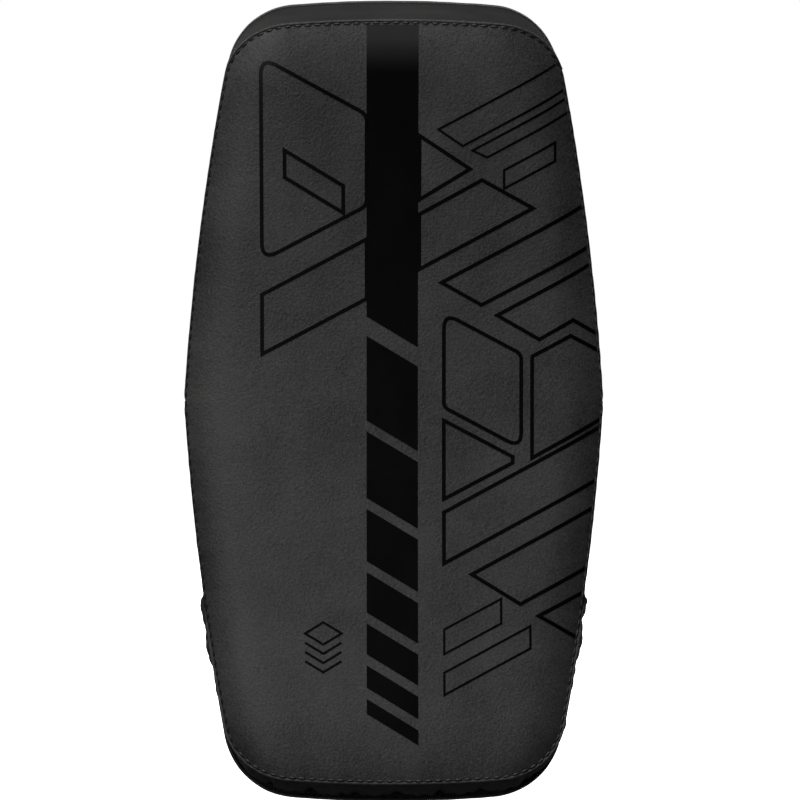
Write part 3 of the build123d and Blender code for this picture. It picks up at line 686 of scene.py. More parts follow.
def foam(name, value, tint, scale=420.0):
    """Cut foam with open cells."""
    n = Nodes(name)
    holes = n.cells(scale)
    cloud = n.noise(25.0, 3.0, 0.6)
    tone = n.math("MULTIPLY_ADD", holes, 0.5, n.math("MULTIPLY", cloud, 0.6))
    colour = n.ramp(tone, [(0.15, grey(value * 0.7, tint)), (0.7, grey(value, tint))])
    n.surface(**{"Base Color": colour, "Roughness": 0.9, "Normal": n.bump(holes, 0.8, 0.0006)})
    return n.material


def hooks(name, value):
    """Hook tape: rows of tiny stiff hooks."""
    n = Nodes(name)
    dots = n.cells(720.0, coord=n.strip_coord(), randomness=0.25)
    colour = n.ramp(dots, [(0.05, grey(value * 2.2)), (0.5, grey(value * 0.5))])
    height = n.math("SUBTRACT", 1.0, n.math("MULTIPLY", dots, 1.6))
    n.surface(**{"Base Color": colour, "Roughness": 0.45, "Normal": n.bump(height, 1.0, 0.0007)})
    return n.material


def loops(name, value):
    """Loop tape: a matted pile."""
    n = Nodes(name)
    pile = n.noise(1300.0, 5.0, 0.85, distortion=2.5)
    clump = n.noise(160.0, 3.0, 0.6)
    tone = n.math("MULTIPLY_ADD", pile, 0.6, n.math("MULTIPLY", clump, 0.4))
    colour = n.ramp(tone, [(0.3, grey(value * 0.5)), (0.75, grey(value * 2.1))])
    n.surface(**{"Base Color": colour, "Roughness": 0.95, "Normal": n.bump(pile, 1.0, 0.0009),
                 "Sheen Weight": 0.5, "Sheen Roughness": 0.6})
    return n.material


def coated_metal(name, value, rough=0.32, metallic=0.0, coat=0.25):
    """Black-coated metal with faint orange peel, and rubbed places that shine more."""
    n = Nodes(name)
    peel = n.noise(700.0, 2.0, 0.5)
    rub = n.noise(45.0, 5.0, 0.7)
    colour = n.ramp(rub, [(0.45, grey(value)), (0.8, grey(value * 2.6, -0.02))])
    gloss = n.math("MULTIPLY_ADD", rub, -0.18, rough + 0.1)
    n.surface(**{"Base Color": colour, "Roughness": gloss, "Metallic": metallic, "Coat Weight": coat,
                 "Coat Roughness": 0.25, "Normal": n.bump(peel, 0.12, 0.0002)})
    return n.material


def plastic(name, value, rough=0.5, tint=0.0):
    """Moulded plastic or rubber with a fine spark-eroded texture."""
    n = Nodes(name)
    erode = n.noise(1800.0, 3.0, 0.6)
    cloud = n.noise(40.0, 3.0, 0.6)
    colour = n.ramp(cloud, [(0.3, grey(value * 0.8, tint)), (0.8, grey(value * 1.3, tint))])
    gloss = n.math("MULTIPLY_ADD", erode, 0.15, rough - 0.07)
    n.surface(**{"Base Color": colour, "Roughness": gloss, "Normal": n.bump(erode, 0.25, 0.0002)})
    return n.material


def binding_cloth(name, value):
    """Grosgrain tape: close ribs across its length."""
    n = Nodes(name)
    ribs = n.cells(1400.0, randomness=0.6)
    cloud = n.noise(30.0)
    colour = n.ramp(cloud, [(0.3, grey(value * 0.7)), (0.8, grey(value * 1.5))])
    fuzz = n.noise(2400.0, 2.0, 0.7)
    height = n.math("MULTIPLY_ADD", fuzz, 0.5, ribs)
    n.surface(**{"Base Color": colour, "Roughness": 0.8, "Normal": n.bump(height, 0.6, 0.0003),
                 "Sheen Weight": 0.2, "Sheen Roughness": 0.5, "Specular IOR Level": 0.25})
    return n.material


def make_materials():
    return {
        "cover": leather("cover_leather_matt", COVER_GREY, rough=0.55, specular=0.4, spread=0.7),
        # welt: the wall's leather made lighter, a painted highlight along the fold of the front seam
        "welt": leather("welt_leather_painted_highlight", 0.044, grain=1.4, rough=0.62, specular=0.2, bumps=1.6),
        "wall": leather("wall_leather_matt", 0.024, rough=0.7, specular=0.08),
        # gathered: a darker copy of the wall's leather, painted shade on the gathered lower wall, which faces
        # down
        "gathered": leather("gathered_leather_painted_shade", 0.011, rough=0.6, specular=0.14),
        "back": leather("back_leather", 0.028, grain=1.3, rough=0.55, bumps=0.7),
        "trim": leather("trim_leather", 0.020, grain=1.5, rough=0.45, bumps=0.8),
        "grip": leather("grip_leather", 0.024, grain=1.7, rough=0.42, bumps=0.9),
        "print": film("black_print", 0.0009),
        "webbing": webbing("black_webbing", 0.016),
        "binding": binding_cloth("binding_tape", 0.016),
        # black thread, used only on the front seam: real stitches, made black so that they also paint the
        # shade of the seam's groove
        "thread": thread("black_thread_and_groove_shade", 0.004),
        "grey_thread": thread("charcoal_thread", 0.045),
        "foam": foam("white_foam", 0.72, 0.06),
        "dense_foam": foam("dense_foam", 0.11, 0.0, 900.0),
        "hooks": hooks("hook_tape", 0.012),
        "loops": loops("loop_tape", 0.012),
        "ring": coated_metal("ring_coating", 0.018),
        "zip": coated_metal("zip_coating", 0.022, rough=0.38),
        "eyelet": coated_metal("eyelet_coating", 0.02, rough=0.3),
        "teeth": plastic("zip_teeth_plastic", 0.016, rough=0.4),
        "rubber": plastic("tail_tip_rubber", 0.015, rough=0.6),
        "tube": plastic("grip_tube_plastic", 0.45, rough=0.5, tint=0.03),
        "tape": binding_cloth("zip_tape_cloth", 0.013),
    }


# ---- strike face ---------------------------------------------------------------------------------

FACE_DEPTHS = [1.5, 2.1, 2.8, 3.6, 4.6, 6, 8, 10.5, 13.5, 17, 21, 25.5, 30.5, 36, 42, 48]
INNER_RINGS = 22


def inner_depths():
    span = HALF_WIDTH - RING_LIMIT
    return [RING_LIMIT + span * i / INNER_RINGS for i in range(1, INNER_RINGS)]


SEAM_STITCH_INSET = 2.0
SEAM_RIDGE = 0.9              # height of the fold along the wall's front edge


def make_strike_face(mats):
    rows = [
        ring(5.0, lambda x, h, d, u: FACE_RADIUS + seam_drop(x) + 5.0),
        ring(2.6, lambda x, h, d, u: FACE_RADIUS + seam_drop(x) + 2.4),
    ]
    for depth in FACE_DEPTHS + inner_depths():
        rows.append(ring(depth, face_radius))
    centre = place(0, 0, face_radius(0, 0, HALF_WIDTH, 0))
    face = loft("strike_face", rows, end_pole=centre)
    thicken_behind(face, COVER_THICKNESS)
    finish_piece(face, mats["cover"], "shield", ["strike_panel"], smooth=60)
    run = []
    for sample in OUTLINE + OUTLINE[:1]:
        x, h = ring_point(sample, SEAM_STITCH_INSET)
        radius = face_radius(x, h, SEAM_STITCH_INSET, sample[4])
        spot = place(x, h, radius - 0.15)
        front = (place(x, h, radius - 1) - spot).normalized()
        outward = (place(*ring_point(sample, 0), radius) - spot).normalized()
        run.append((spot, (front * 0.85 + outward * 0.5).normalized()))
    # the front seam's stitches are real; their black thread and large size also paint the shade of the seam's
    # groove
    sew("strike_seam_stitches", [run], mats, "shield", FACE_STITCH, "thread")


# ---- artwork -------------------------------------------------------------------------------------

BAND = (-22.8, 19.5)          # left and right edges of the printed band
SLANT = 0.60                  # fall of a slanted edge for each unit to the right
LINE = 3.1                    # width of a drawn line
FINE_LINE = 1.9
SOFTEN_STEPS = 9              # facets of a rounded corner
DECAL_CELL = 5.0              # the print is cut into cells of this size to follow the face
DECAL_LIFT = 0.28             # the print stands this far proud of the face
DECAL_THICKNESS = 0.5
DECAL_EDGE = 3.3              # the print stops this far in from the wall
DECAL_REACH = 330.0           # no print lies farther above or below mid-height
BAND_END = 71.0               # the band is whole down to here, then it breaks up into bars
BAND_BARS = (70, 55, 43, 33, 25, 18, 12)
BAND_GAPS = (16.0, 9.0)       # before the first bar and between bars
CHEVRONS = (-58.5, -190.0)    # middle of the rhombus, with three chevrons below it
CHEVRON_REACH = 15.0
CHEVRON_PITCH = 7.5


def face_height(z):
    """Arc height of a place on the strike face that lies z above mid-height."""
    return MID_RADIUS * math.asin(max(-0.99, min(0.99, z / FACE_RADIUS)))


def outline_strip(points, width, closed=True):
    """Quads along a bent line of the given width, mitred at its corners."""
    corners = [Vector(p) for p in points]
    if closed:
        sides = [(b - a).normalized() for a, b in zip(corners, corners[1:] + corners[:1])]
        pairs = [(sides[i - 1], sides[i]) for i in range(len(corners))]
    else:
        sides = [(b - a).normalized() for a, b in zip(corners, corners[1:])]
        pairs = [(sides[max(0, i - 1)], sides[min(i, len(sides) - 1)]) for i in range(len(corners))]
    left, right = [], []
    for corner, (before, after) in zip(corners, pairs):
        mitre = Vector((-before.y - after.y, before.x + after.x)).normalized()
        reach = width / 2 / max(0.35, mitre.dot(Vector((-after.y, after.x))))
        left.append(corner + mitre * reach)
        right.append(corner - mitre * reach)
    quads = []
    count = len(corners)
    for i in range(count if closed else count - 1):
        k = (i + 1) % count
        quads.append([left[i], right[i], right[k], left[k]])
    return quads


def soften(points, radius):
    """A closed shape with its corners rounded."""
    count = len(points)
    shape = []
    for i in range(count):
        a, b, c = (Vector(points[(i + k - 1) % count]) for k in range(3))
        back, ahead = (a - b).normalized(), (c - b).normalized()
        half = back.angle(ahead) / 2
        cut = min(radius / math.tan(half), (a - b).length * 0.45, (c - b).length * 0.45)
        for step in range(SOFTEN_STEPS + 1):
            t = step / SOFTEN_STEPS
            shape.append((b + back * cut) * (1 - t) ** 2 + b * (2 * t * (1 - t)) + (b + ahead * cut) * t ** 2)
    return shape


def decal(name, shapes, material):
    """Thin printed pieces that follow the strike face; shapes are filled outlines in x and z."""
    bm = bmesh.new()
    for shape in shapes:
        verts = [bm.verts.new((p[0], p[1], 0)) for p in shape]
        bm.faces.new(verts)
    bmesh.ops.triangulate(bm, faces=bm.faces[:])
    edge = []
    for sample in OUTLINE[::8]:
        x, h = ring_point(sample, DECAL_EDGE)
        edge.append(Vector((x, FACE_RADIUS * math.sin(h / MID_RADIUS), 0)))
    for a, b in zip(edge, edge[1:] + edge[:1]):
        cut_mesh(bm, a, Vector((b.y - a.y, a.x - b.x, 0)), clear_outer=True)
    for normal, reach in (((1, 0, 0), HALF_WIDTH), ((0, 1, 0), DECAL_REACH)):
        line = -reach
        while line <= reach:
            cut_mesh(bm, (line * normal[0], line * normal[1], 0), normal)
            line += DECAL_CELL
    bmesh.ops.remove_doubles(bm, verts=bm.verts, dist=0.02)
    mesh = bpy.data.meshes.new(name)
    for vert in bm.verts:
        vert.co = on_face(vert.co.x, face_height(vert.co.y), DECAL_LIFT)
    bm.to_mesh(mesh)
    bm.free()
    obj = add_object(name, mesh)
    thicken_behind(obj, DECAL_THICKNESS)
    finish_piece(obj, material, "shield", smooth=50)


def make_artwork(mats):
    left, right = BAND
    fall = (right - left) * SLANT
    shapes = [[(left, BAND_TOP), (left, BAND_END), (right, BAND_END - fall), (right, BAND_TOP)]]
    z = BAND_END - BAND_GAPS[0]
    for height in BAND_BARS:
        shapes.append([(left, z), (left, z - height), (right, z - height - fall), (right, z - fall)])
        z -= height + BAND_GAPS[1]
    decal("printed_band", shapes, mats["print"])

    bold = []
    for shape in bold_outlines(left, right + 1):
        bold += outline_strip(shape, LINE)
    decal("drawn_lines", bold, mats["print"])

    fine = []
    for shape in fine_outlines():
        fine += outline_strip(shape, FINE_LINE)
    (x, z), reach = CHEVRONS, CHEVRON_REACH
    for level in range(1, 4):
        middle = z - CHEVRON_PITCH * level
        arrow = [(x - reach, middle), (x, middle - reach * SLANT), (x + reach, middle)]
        fine += outline_strip(arrow, FINE_LINE, closed=False)
    rhombus = [(x - reach, z), (x, z - reach * SLANT), (x + reach, z), (x, z + reach * SLANT)]
    fine += outline_strip(rhombus, FINE_LINE)
    decal("drawn_fine_lines", fine, mats["print"])


def bar(x0, x1, z, height, slope, cant=0.0):
    """Slanted bar: z is the top of its left end, slope its rise to the right, cant leans its left end."""
    rise = (x1 - x0) * slope
    return [(x0, z), (x0 + cant, z - height + cant * slope), (x1, z - height + rise), (x1, z + rise)]


def bold_outlines(left, right):
    """Large angular shards left and right of the band; some run off over the edge of the face."""
    return [
        soften([(-109, 282), (-109, 117), (left, 162), (left, 236)], 9),
        bar(-90, -42, 207, 22, -SLANT),
        bar(-109, left, 89, 49, 0.53),
        [(right, 219), (right, 167), (62, 192)],
        [(right, 155), (right, 110), (114, 160), (72, 183)],
        bar(39, 190, 99, 36, 0.53, 33),
        [(85, 72), (120, 52), (148, 68), (190, 44), (190, 128)],
        soften([(41, 74), (41, -4), (105, -38), (105, 40)], 8),
        [(41, -15), (41, -80), (98, -50), (98, -45)],
        [(114, 38), (146, 55), (190, 32), (190, -4), (114, -46)],
        bar(41, 190, -91, 42, 0.54),
        bar(64, 190, -142, 46, 0.54, 40),
        [(119, -176), (190, -139), (190, -214)],
    ]


def fine_outlines():
    """The same kind of shards, smaller and thinner."""
    return [
        bar(36, 190, 224, 24, 0.53, 20),
        bar(64, 190, 207, 12, 0.53, 12),
        bar(90, 132, 191, 15, 0.53),
        bar(41, 88, -187, 20, 0.53),
        bar(41, 112, -222, 18, 0.53),
    ]


# ---- walls, binding and back ---------------------------------------------------------------------

WALL_STEPS = 22
SIDE_SEAM_GROOVE = 1.5        # the seam across each side wall at mid-height
SIDE_SEAM_WIDTH = 2.8
FRONT_TUCK = 2.0              # how far the wall's front edge is turned in
WELT_RADIUS = 1.25
WELT_INSET = 0.2              # middle of the welt, in from the outline
WELT_SINK = 0.9               # and behind the front seam
WELT_SIDES = 10
WELT_TAPER = 30.0             # length over which it thins out at its ends
WELT_TOP_H = 285.0            # the upper welt lies above this arc height
WALL_EDGE_STEPS = [0.0, 0.005, 0.01, 0.015, 0.021, 0.028, 0.04]


def gather_share(h):
    """0 on the plain wall, 1 on the gathered wall at the lower end."""
    return 1 - smooth_step(h, GATHER_TOP_H - 7, GATHER_TOP_H + 1)


def gathers(along, v):
    """Height of the gathered wall's puckers, 0 to 1 for puffs and below 0 in the folds."""
    warp = along + 9 * ripple(along, 0, 47, 2.2) + 3.0 * ripple(along, v * 60, 30, 8.1)
    wave = math.sin(math.pi * warp / GATHER_PITCH)
    puff = abs(wave) ** 0.55
    small = ripple(along, v * 20, 8, 4.4) * (1 - math.sin(math.pi * v)) * 0.55
    crowd = along + 5 * ripple(along, v * 25, 26, 5.8)
    crease = abs(math.sin(math.pi * crowd / CREASE_PITCH)) ** 0.7 - 0.6
    near_seam = 0.22 + 0.62 * (2 * v - 1) ** 2
    return puff - 0.45 + small + 0.35 * ripple(along, v * 70, 19, 6.6) + near_seam * crease


def wall_place(sample, v, swell, pleats=0.0):
    """Point on the wall: v runs from the front seam to the binding."""
    x, h, nx, nh, along = sample
    front = FACE_RADIUS + seam_drop(x) + 0.6
    back = BACK_RADIUS - 8.0
    belly = math.sin(math.pi * min(1.0, max(0.0, v))) ** 0.55
    inset = SEAM_INSET * (1 - v) * (1 - belly) + 0.4 * v - swell * belly
    if pleats:
        reach = 0.35 + 0.65 * belly
        inset -= pleats * gathers(along, v) * reach
    inset -= 0.35 * belly * ripple(along, v * 60, 45, 9.3)
    inset += SIDE_SEAM_GROOVE * math.exp(-(h / SIDE_SEAM_WIDTH) ** 2)
    inset -= SEAM_RIDGE * math.exp(-((v - 0.012) / 0.011) ** 2) * (0.8 + 0.4 * ripple(along, 0, 9, 6.1))
    return place(x - nx * inset, h - nh * inset, front + (back - front) * v)


def wall_band(name, samples, swell_of, pleats_of, mats_key, mats, node, thickness=1.6):
    """Stretch of the side wall over a run of outline samples, turned in behind the front seam."""
    rows = []
    steps = WALL_EDGE_STEPS + [WALL_EDGE_STEPS[-1] + (1 - WALL_EDGE_STEPS[-1]) * i / WALL_STEPS
                               for i in range(1, WALL_STEPS + 1)]
    for k, v in enumerate([0.0] + steps, -1):
        row = []
        for sample in samples:
            if k < 0:
                x, h, nx, nh, _ = sample
                inset = SEAM_INSET + FRONT_TUCK
                row.append(place(x - nx * inset, h - nh * inset, FACE_RADIUS + seam_drop(x) + 3.5))
            else:
                row.append(wall_place(sample, v, swell_of(sample), pleats_of(sample)))
        rows.append(row)
    band = loft(name, rows, closed=False)
    tidy_mesh(band)
    sample_polygon = band.data.polygons[len(band.data.polygons) // 2]
    middle = place(0, 0, MID_RADIUS)
    outward = sample_polygon.normal.dot(sample_polygon.center - middle) > 0
    thicken(band, thickness, offset=-1.0 if outward else 1.0)
    finish_piece(band, mats[mats_key], "shield", [node], smooth=60)


def make_welt(name, samples, mats):
    """The doubled edge of the wall's leather, standing a little proud along the front seam, in a lighter
    leather that paints its highlight.
    """
    rows = []
    for sample in samples:
        x, h, nx, nh, along = sample
        centre_inset = WELT_INSET + 0.12 * ripple(along, 3, 7, 1.4)
        radius = FACE_RADIUS + seam_drop(x) + WELT_SINK
        size = WELT_RADIUS * (1 + 0.10 * ripple(along, 0, 5, 3.9) + 0.08 * ripple(along, 9, 13, 7.7))
        size *= 0.35 + 0.65 * smooth_step(min(along - samples[0][4], samples[-1][4] - along), 0, WELT_TAPER)
        row = []
        for i in range(WELT_SIDES):
            turn = TAU * i / WELT_SIDES
            inset = centre_inset + size * math.cos(turn)
            row.append(place(x - nx * inset, h - nh * inset, radius + size * math.sin(turn)))
        rows.append(row)
    poles = [sum(row, Vector()) / len(row) for row in (rows[0], rows[-1])]
    welt = loft(name, rows, start_pole=poles[0], end_pole=poles[1])
    finish_piece(welt, mats["welt"], "shield", smooth=60)


def samples_between(low, high, side=0):
    """Run of outline samples, in order, whose h lies between low and high; side limits x."""
    picked = []
    for sample in OUTLINE:
        x, h = sample[0], sample[1]
        if low <= h <= high and (side == 0 or x * side > 0):
            picked.append(sample)
    for i in range(1, len(picked)):
        if picked[i][4] - picked[i - 1][4] > 3 * OUTLINE_STEP:
            return picked[i:] + picked[:i]
    return picked


def finer(samples):
    """The same run of outline samples with one more halfway between each pair."""
    run = samples[:1]
    for a, b in zip(samples, samples[1:]):
        if abs(b[4] - a[4]) < 3 * OUTLINE_STEP:
            run.append(tuple((p + q) / 2 for p, q in zip(a, b)))
        run.append(b)
    return run


def make_walls(mats):
    def plain(sample):
        return WALL_SWELL

    def none(sample):
        return 0.0

    top = samples_between(0.0, 400.0)
    wall_band("top_wall", top, plain, none, "wall", mats, "top_gusset")
    make_welt("top_welt", samples_between(WELT_TOP_H, 400.0), mats)
    make_welt("bottom_welt", samples_between(-400.0, GATHER_TOP_H - 12), mats)
    for side, word in ((-1, "left"), (1, "right")):
        run = samples_between(GATHER_TOP_H - 14, 0.0, side)
        wall_band(word + "_wall", run, lambda s: WALL_SWELL - 0.5 * (1 - smooth_step(s[1], -20, 0)),
                  none, "wall", mats, word + "_side_gusset")
    gathered = finer(samples_between(-400.0, GATHER_TOP_H))

    def swell(sample):
        side_share = smooth_step(sample[1], -285, -195)
        return -1.0 + (1.0 + GATHER_SWELL * (0.12 + 0.88 * side_share)) * gather_share(sample[1])

    def pleats(sample):
        return (2.6 + 1.6 * (1 - smooth_step(sample[1], -300, -230))) * gather_share(sample[1] + 2)

    # the gathered wall takes the darker leather, which paints its shade
    wall_band("gathered_wall", gathered, swell, pleats, "gathered", mats, "bottom_gusset",
              thickness=2.0)


BINDING_STITCH_INSET = 8.6
BINDING_LIFT = 1.5


def make_binding(mats):
    """Tape folded over the rear edge, with its stitches on the back."""
    profile = [
        (0.3, -11.5), (-0.9, -11.3), (-1.2, -9.0), (-1.3, -4.0), (-1.1, -1.0), (0.0, 0.9),
        (2.0, 1.5), (6.0, 1.6), (9.6, 1.5), (10.9, 1.2), (11.1, 0.3), (6.0, 0.1), (2.0, -0.2),
        (0.6, -1.6), (0.3, -6.0),
    ]
    rows = []
    for sample in OUTLINE + OUTLINE[:1]:
        x, h, nx, nh, along = sample
        out = 4.0 * gather_share(h)
        row = []
        for inset, lift in profile:
            pull = 0.35 * ripple(along, inset * 2, 14, 2.9)
            shift = inset - out * (1 - smooth_step(inset, -1, 9)) - pull * 0.6
            row.append(place(x - nx * shift, h - nh * shift, BACK_RADIUS + lift + 0.25 * pull))
        rows.append(row)
    tape = loft("rear_binding", rows, closed=True)
    finish_piece(tape, mats["binding"], "shield", ["rear_edge_binding"], smooth=50)
    run = []
    for sample in OUTLINE + OUTLINE[:1]:
        x, h = ring_point(sample, BINDING_STITCH_INSET)
        normal = (place(x, h, BACK_RADIUS + 1) - place(x, h, BACK_RADIUS)).normalized()
        run.append((place(x, h, BACK_RADIUS + BINDING_LIFT), normal))
    sew("binding_stitches", [run], mats, "shield", EDGE_STITCH)


ZIP_SLOT_HALF = 8.0
ZIP_SLOT_END = 123.0


def make_back(mats):
    """The two back panels, with the zip's slot between them."""
    def back_radius(x, h, depth, along):
        puff = 0.25 * ripple(x, h, 70, 4.1) + 0.12 * ripple(x, h, 24, 6.3)
        zip_h = ZIP_S / BACK_RADIUS * MID_RADIUS
        near_zip = math.exp(-((h - zip_h) / 22) ** 2) * (1 - smooth_step(abs(x), 110, 140))
        return BACK_RADIUS - 0.35 + puff * 0.8 - 0.3 * near_zip

    zip_angle = ZIP_S / BACK_RADIUS
    normal = Vector((0, -math.sin(zip_angle), math.cos(zip_angle)))
    axis_point = Vector((0, AXIS_Y, AXIS_Z)) * MM
    for word, side in (("upper", 1), ("lower", -1)):
        rows = [ring(depth, back_radius) for depth in [3.0, 5, 8, 12, 17, 23, 30, 38, 48] + inner_depths()]
        panel = loft("back_cover_" + word, rows, end_pole=place(0, 0, back_radius(0, 0, HALF_WIDTH, 0)))
        bm = bmesh.new()
        bm.from_mesh(panel.data)
        cut_mesh(bm, axis_point + normal * side * 0.15 * MM, normal * side, clear_inner=True)
        cut_mesh(bm, axis_point + normal * side * ZIP_SLOT_HALF * MM, normal * side)
        for end in (1, -1):
            cut_mesh(bm, Vector((end * ZIP_SLOT_END, 0, 0)) * MM, Vector((end, 0, 0)))
        slot = []
        for face in bm.faces:
            middle = face.calc_center_median()
            off = abs((middle - axis_point).dot(normal)) / MM
            if off < ZIP_SLOT_HALF and abs(middle.x) < ZIP_SLOT_END * MM:
                slot.append(face)
        bmesh.ops.delete(bm, geom=slot, context="FACES")
        bm.to_mesh(panel.data)
        bm.free()
        thicken_before(panel, COVER_THICKNESS)
        finish_piece(panel, mats["back"], "shield", ["back_panel_" + word], smooth=60)
    edge = ZIP_SLOT_HALF + 3
    box = [(-ZIP_SLOT_END - 3, ZIP_S - edge), (ZIP_SLOT_END + 3, ZIP_S - edge),
           (ZIP_SLOT_END + 3, ZIP_S + edge), (-ZIP_SLOT_END - 3, ZIP_S + edge)]
    sew("zip_seam_stitches", [surface_run(box, 0.1, closed=True)], mats, "shield",
        ZIP_STITCH)


FOAM_DEPTHS = [6.5, 9, 13, 18, 25, 34, 46, 60, 90, 130]


def make_filling(mats):
    """Foam layers inside the cover, each a closed slab that follows the cover's inside."""
    layers = [
        ("face_foam", "face_foam_sheet", 1.8, 16.0, "foam", "foam"),
        ("core_foam", "impact_foam_core", 16.3, 94.9, "foam", "foam"),
        ("shock_board", "shock_sheet", 95.2, 103.2, "dense_foam", "dense_foam"),
        ("rear_foam", "rear_foam_sheet", 103.5, 120.5, "foam", "foam"),
    ]
    for name, node, low, high, key, slot in layers:
        def top(x, h, depth, along):
            roll = max(0.0, 1 - (depth - 4) / 42)
            return FACE_RADIUS + low + (seam_drop(x) + 1.5) * roll ** ROLL_POWER * max(0.0, 1 - low / 16)

        def base(x, h, depth, along):
            return FACE_RADIUS + high

        rows = [ring(d, top) for d in reversed(FOAM_DEPTHS)] + [ring(d, base) for d in FOAM_DEPTHS]
        slab = loft(name, rows, start_pole=place(0, 0, top(0, 0, HALF_WIDTH, 0)),
                    end_pole=place(0, 0, base(0, 0, HALF_WIDTH, 0)))
        finish_piece(slab, mats[key], "shield", [node], smooth=30)


def make_vents(mats):
    """Rolled eyelets in the side walls."""
    profile = [(2.9, -1.2), (2.8, 0.2), (3.3, 1.0), (4.3, 1.15), (5.6, 0.8), (6.5, 0.15), (6.2, -0.5),
               (4.0, -0.4), (3.6, -1.2)]
    around = 36
    verts, faces = [], []
    for side in (-1, 1):
        for s in VENT_S:
            h = s / BACK_RADIUS * MID_RADIUS
            sample = min((p for p in OUTLINE if p[0] * side > 0), key=lambda p: abs(p[1] - h))
            centre = wall_place(sample, 0.46, WALL_SWELL)
            out = Vector((sample[2], 0, sample[3])).normalized()
            up = out.orthogonal().normalized()
            other = out.cross(up)
            base = len(verts)
            for j in range(around):
                a = TAU * j / around
                spoke = up * math.cos(a) + other * math.sin(a)
                for radius, lift in profile:
                    verts.append(centre + (spoke * radius + out * (lift + 0.15)) * MM)
            size = len(profile)
            for j in range(around):
                k = (j + 1) % around
                for i in range(size):
                    m = (i + 1) % size
                    faces.append((base + j * size + i, base + j * size + m, base + k * size + m,
                                  base + k * size + i))
    eyelets = make_object("vent_rings", verts, faces)
    finish_piece(eyelets, mats["eyelet"], "shield", ["vent_eyelets"], smooth=60)


# ---- things sewn to the back ---------------------------------------------------------------------

PATCH = 1.6
WEB = 2.4
SEWN_GAP = 0.25


def patch(name, x, s, width, height, material, nodes=(), corner=7.0):
    """Leather patch with a slightly raised edge that follows the curved back."""
    steps = 26
    verts, faces = [], []
    for face in (1, 0):
        for i in range(steps + 1):
            for j in range(steps + 1):
                u, v = j / steps * 2 - 1, i / steps * 2 - 1
                # the square grid is drawn in at its corners to round them
                squeeze = corner / min(width, height) * 0.62
                px = u * width / 2 * (1 - squeeze * (abs(v) ** 7) * (abs(u) ** 3))
                ps = v * height / 2 * (1 - squeeze * (abs(u) ** 7) * (abs(v) ** 3))
                rim = edge_round(u, 14) * edge_round(v, 14)
                dip = 0.25 * math.exp(-((abs(u) * width / 2 - width / 2 + 3.5) / 1.2) ** 2)
                dip += 0.25 * math.exp(-((abs(v) * height / 2 - height / 2 + 3.5) / 1.2) ** 2)
                lift = (PATCH * (0.35 + 0.65 * rim) - dip if face else -0.2)
                verts.append(on_back(x + px, s + ps, lift) * MM)
    row = steps + 1
    layer = row * row
    for face in (0, 1):
        for i in range(steps):
            for j in range(steps):
                a = face * layer + i * row + j
                faces.append((a, a + 1, a + row + 1, a + row))
    rim_loop = list(range(steps))
    rim_loop += [i * row + steps for i in range(steps)]
    rim_loop += [steps * row + j for j in range(steps, 0, -1)]
    rim_loop += [i * row for i in range(steps, 0, -1)]
    for a, b in zip(rim_loop, rim_loop[1:] + rim_loop[:1]):
        faces.append((a, b, b + layer, a + layer))
    obj = make_object(name, verts, faces)
    finish_piece(obj, material, "shield", nodes, smooth=50)
    return obj


def box_run(x, s, width, height, lift):
    """Closed rectangle of stitches round a middle."""
    return surface_run([(x - width / 2, s - height / 2), (x + width / 2, s - height / 2),
                        (x + width / 2, s + height / 2), (x - width / 2, s + height / 2)],
                       lift, closed=True)


def sewn_box(x, s, width, height, lift):
    """A rectangle of stitches with its two diagonals."""
    return [box_run(x, s, width, height, lift),
            surface_run([(x - width / 2, s - height / 2), (x + width / 2, s + height / 2)], lift),
            surface_run([(x - width / 2, s + height / 2), (x + width / 2, s - height / 2)], lift)]


def join(name, parts):
    """One object from several."""
    bm = bmesh.new()
    for part in parts:
        bm.from_mesh(part.data)
        bpy.data.objects.remove(part)
    mesh = bpy.data.meshes.new(name)
    bm.to_mesh(mesh)
    bm.free()
    return add_object(name, mesh)


# hand grip
GRIP_STANDOFF = 50.0
GRIP_LENGTH = 132.0
GRIP_RADIUS = 18.5
GRIP_BORE = 15.3
GRIP_WEB = 2.6
GRIP_WEB_WIDTH = 25.0
GRIP_FOOT = (86.0, 116.0)     # from where to where each foot of its tape is sewn down
GRIP_PATCH_HEIGHT = 44.0
GRIP_SEAM_TURN = -1.9         # where the wrap's lapped seam lies round the bar


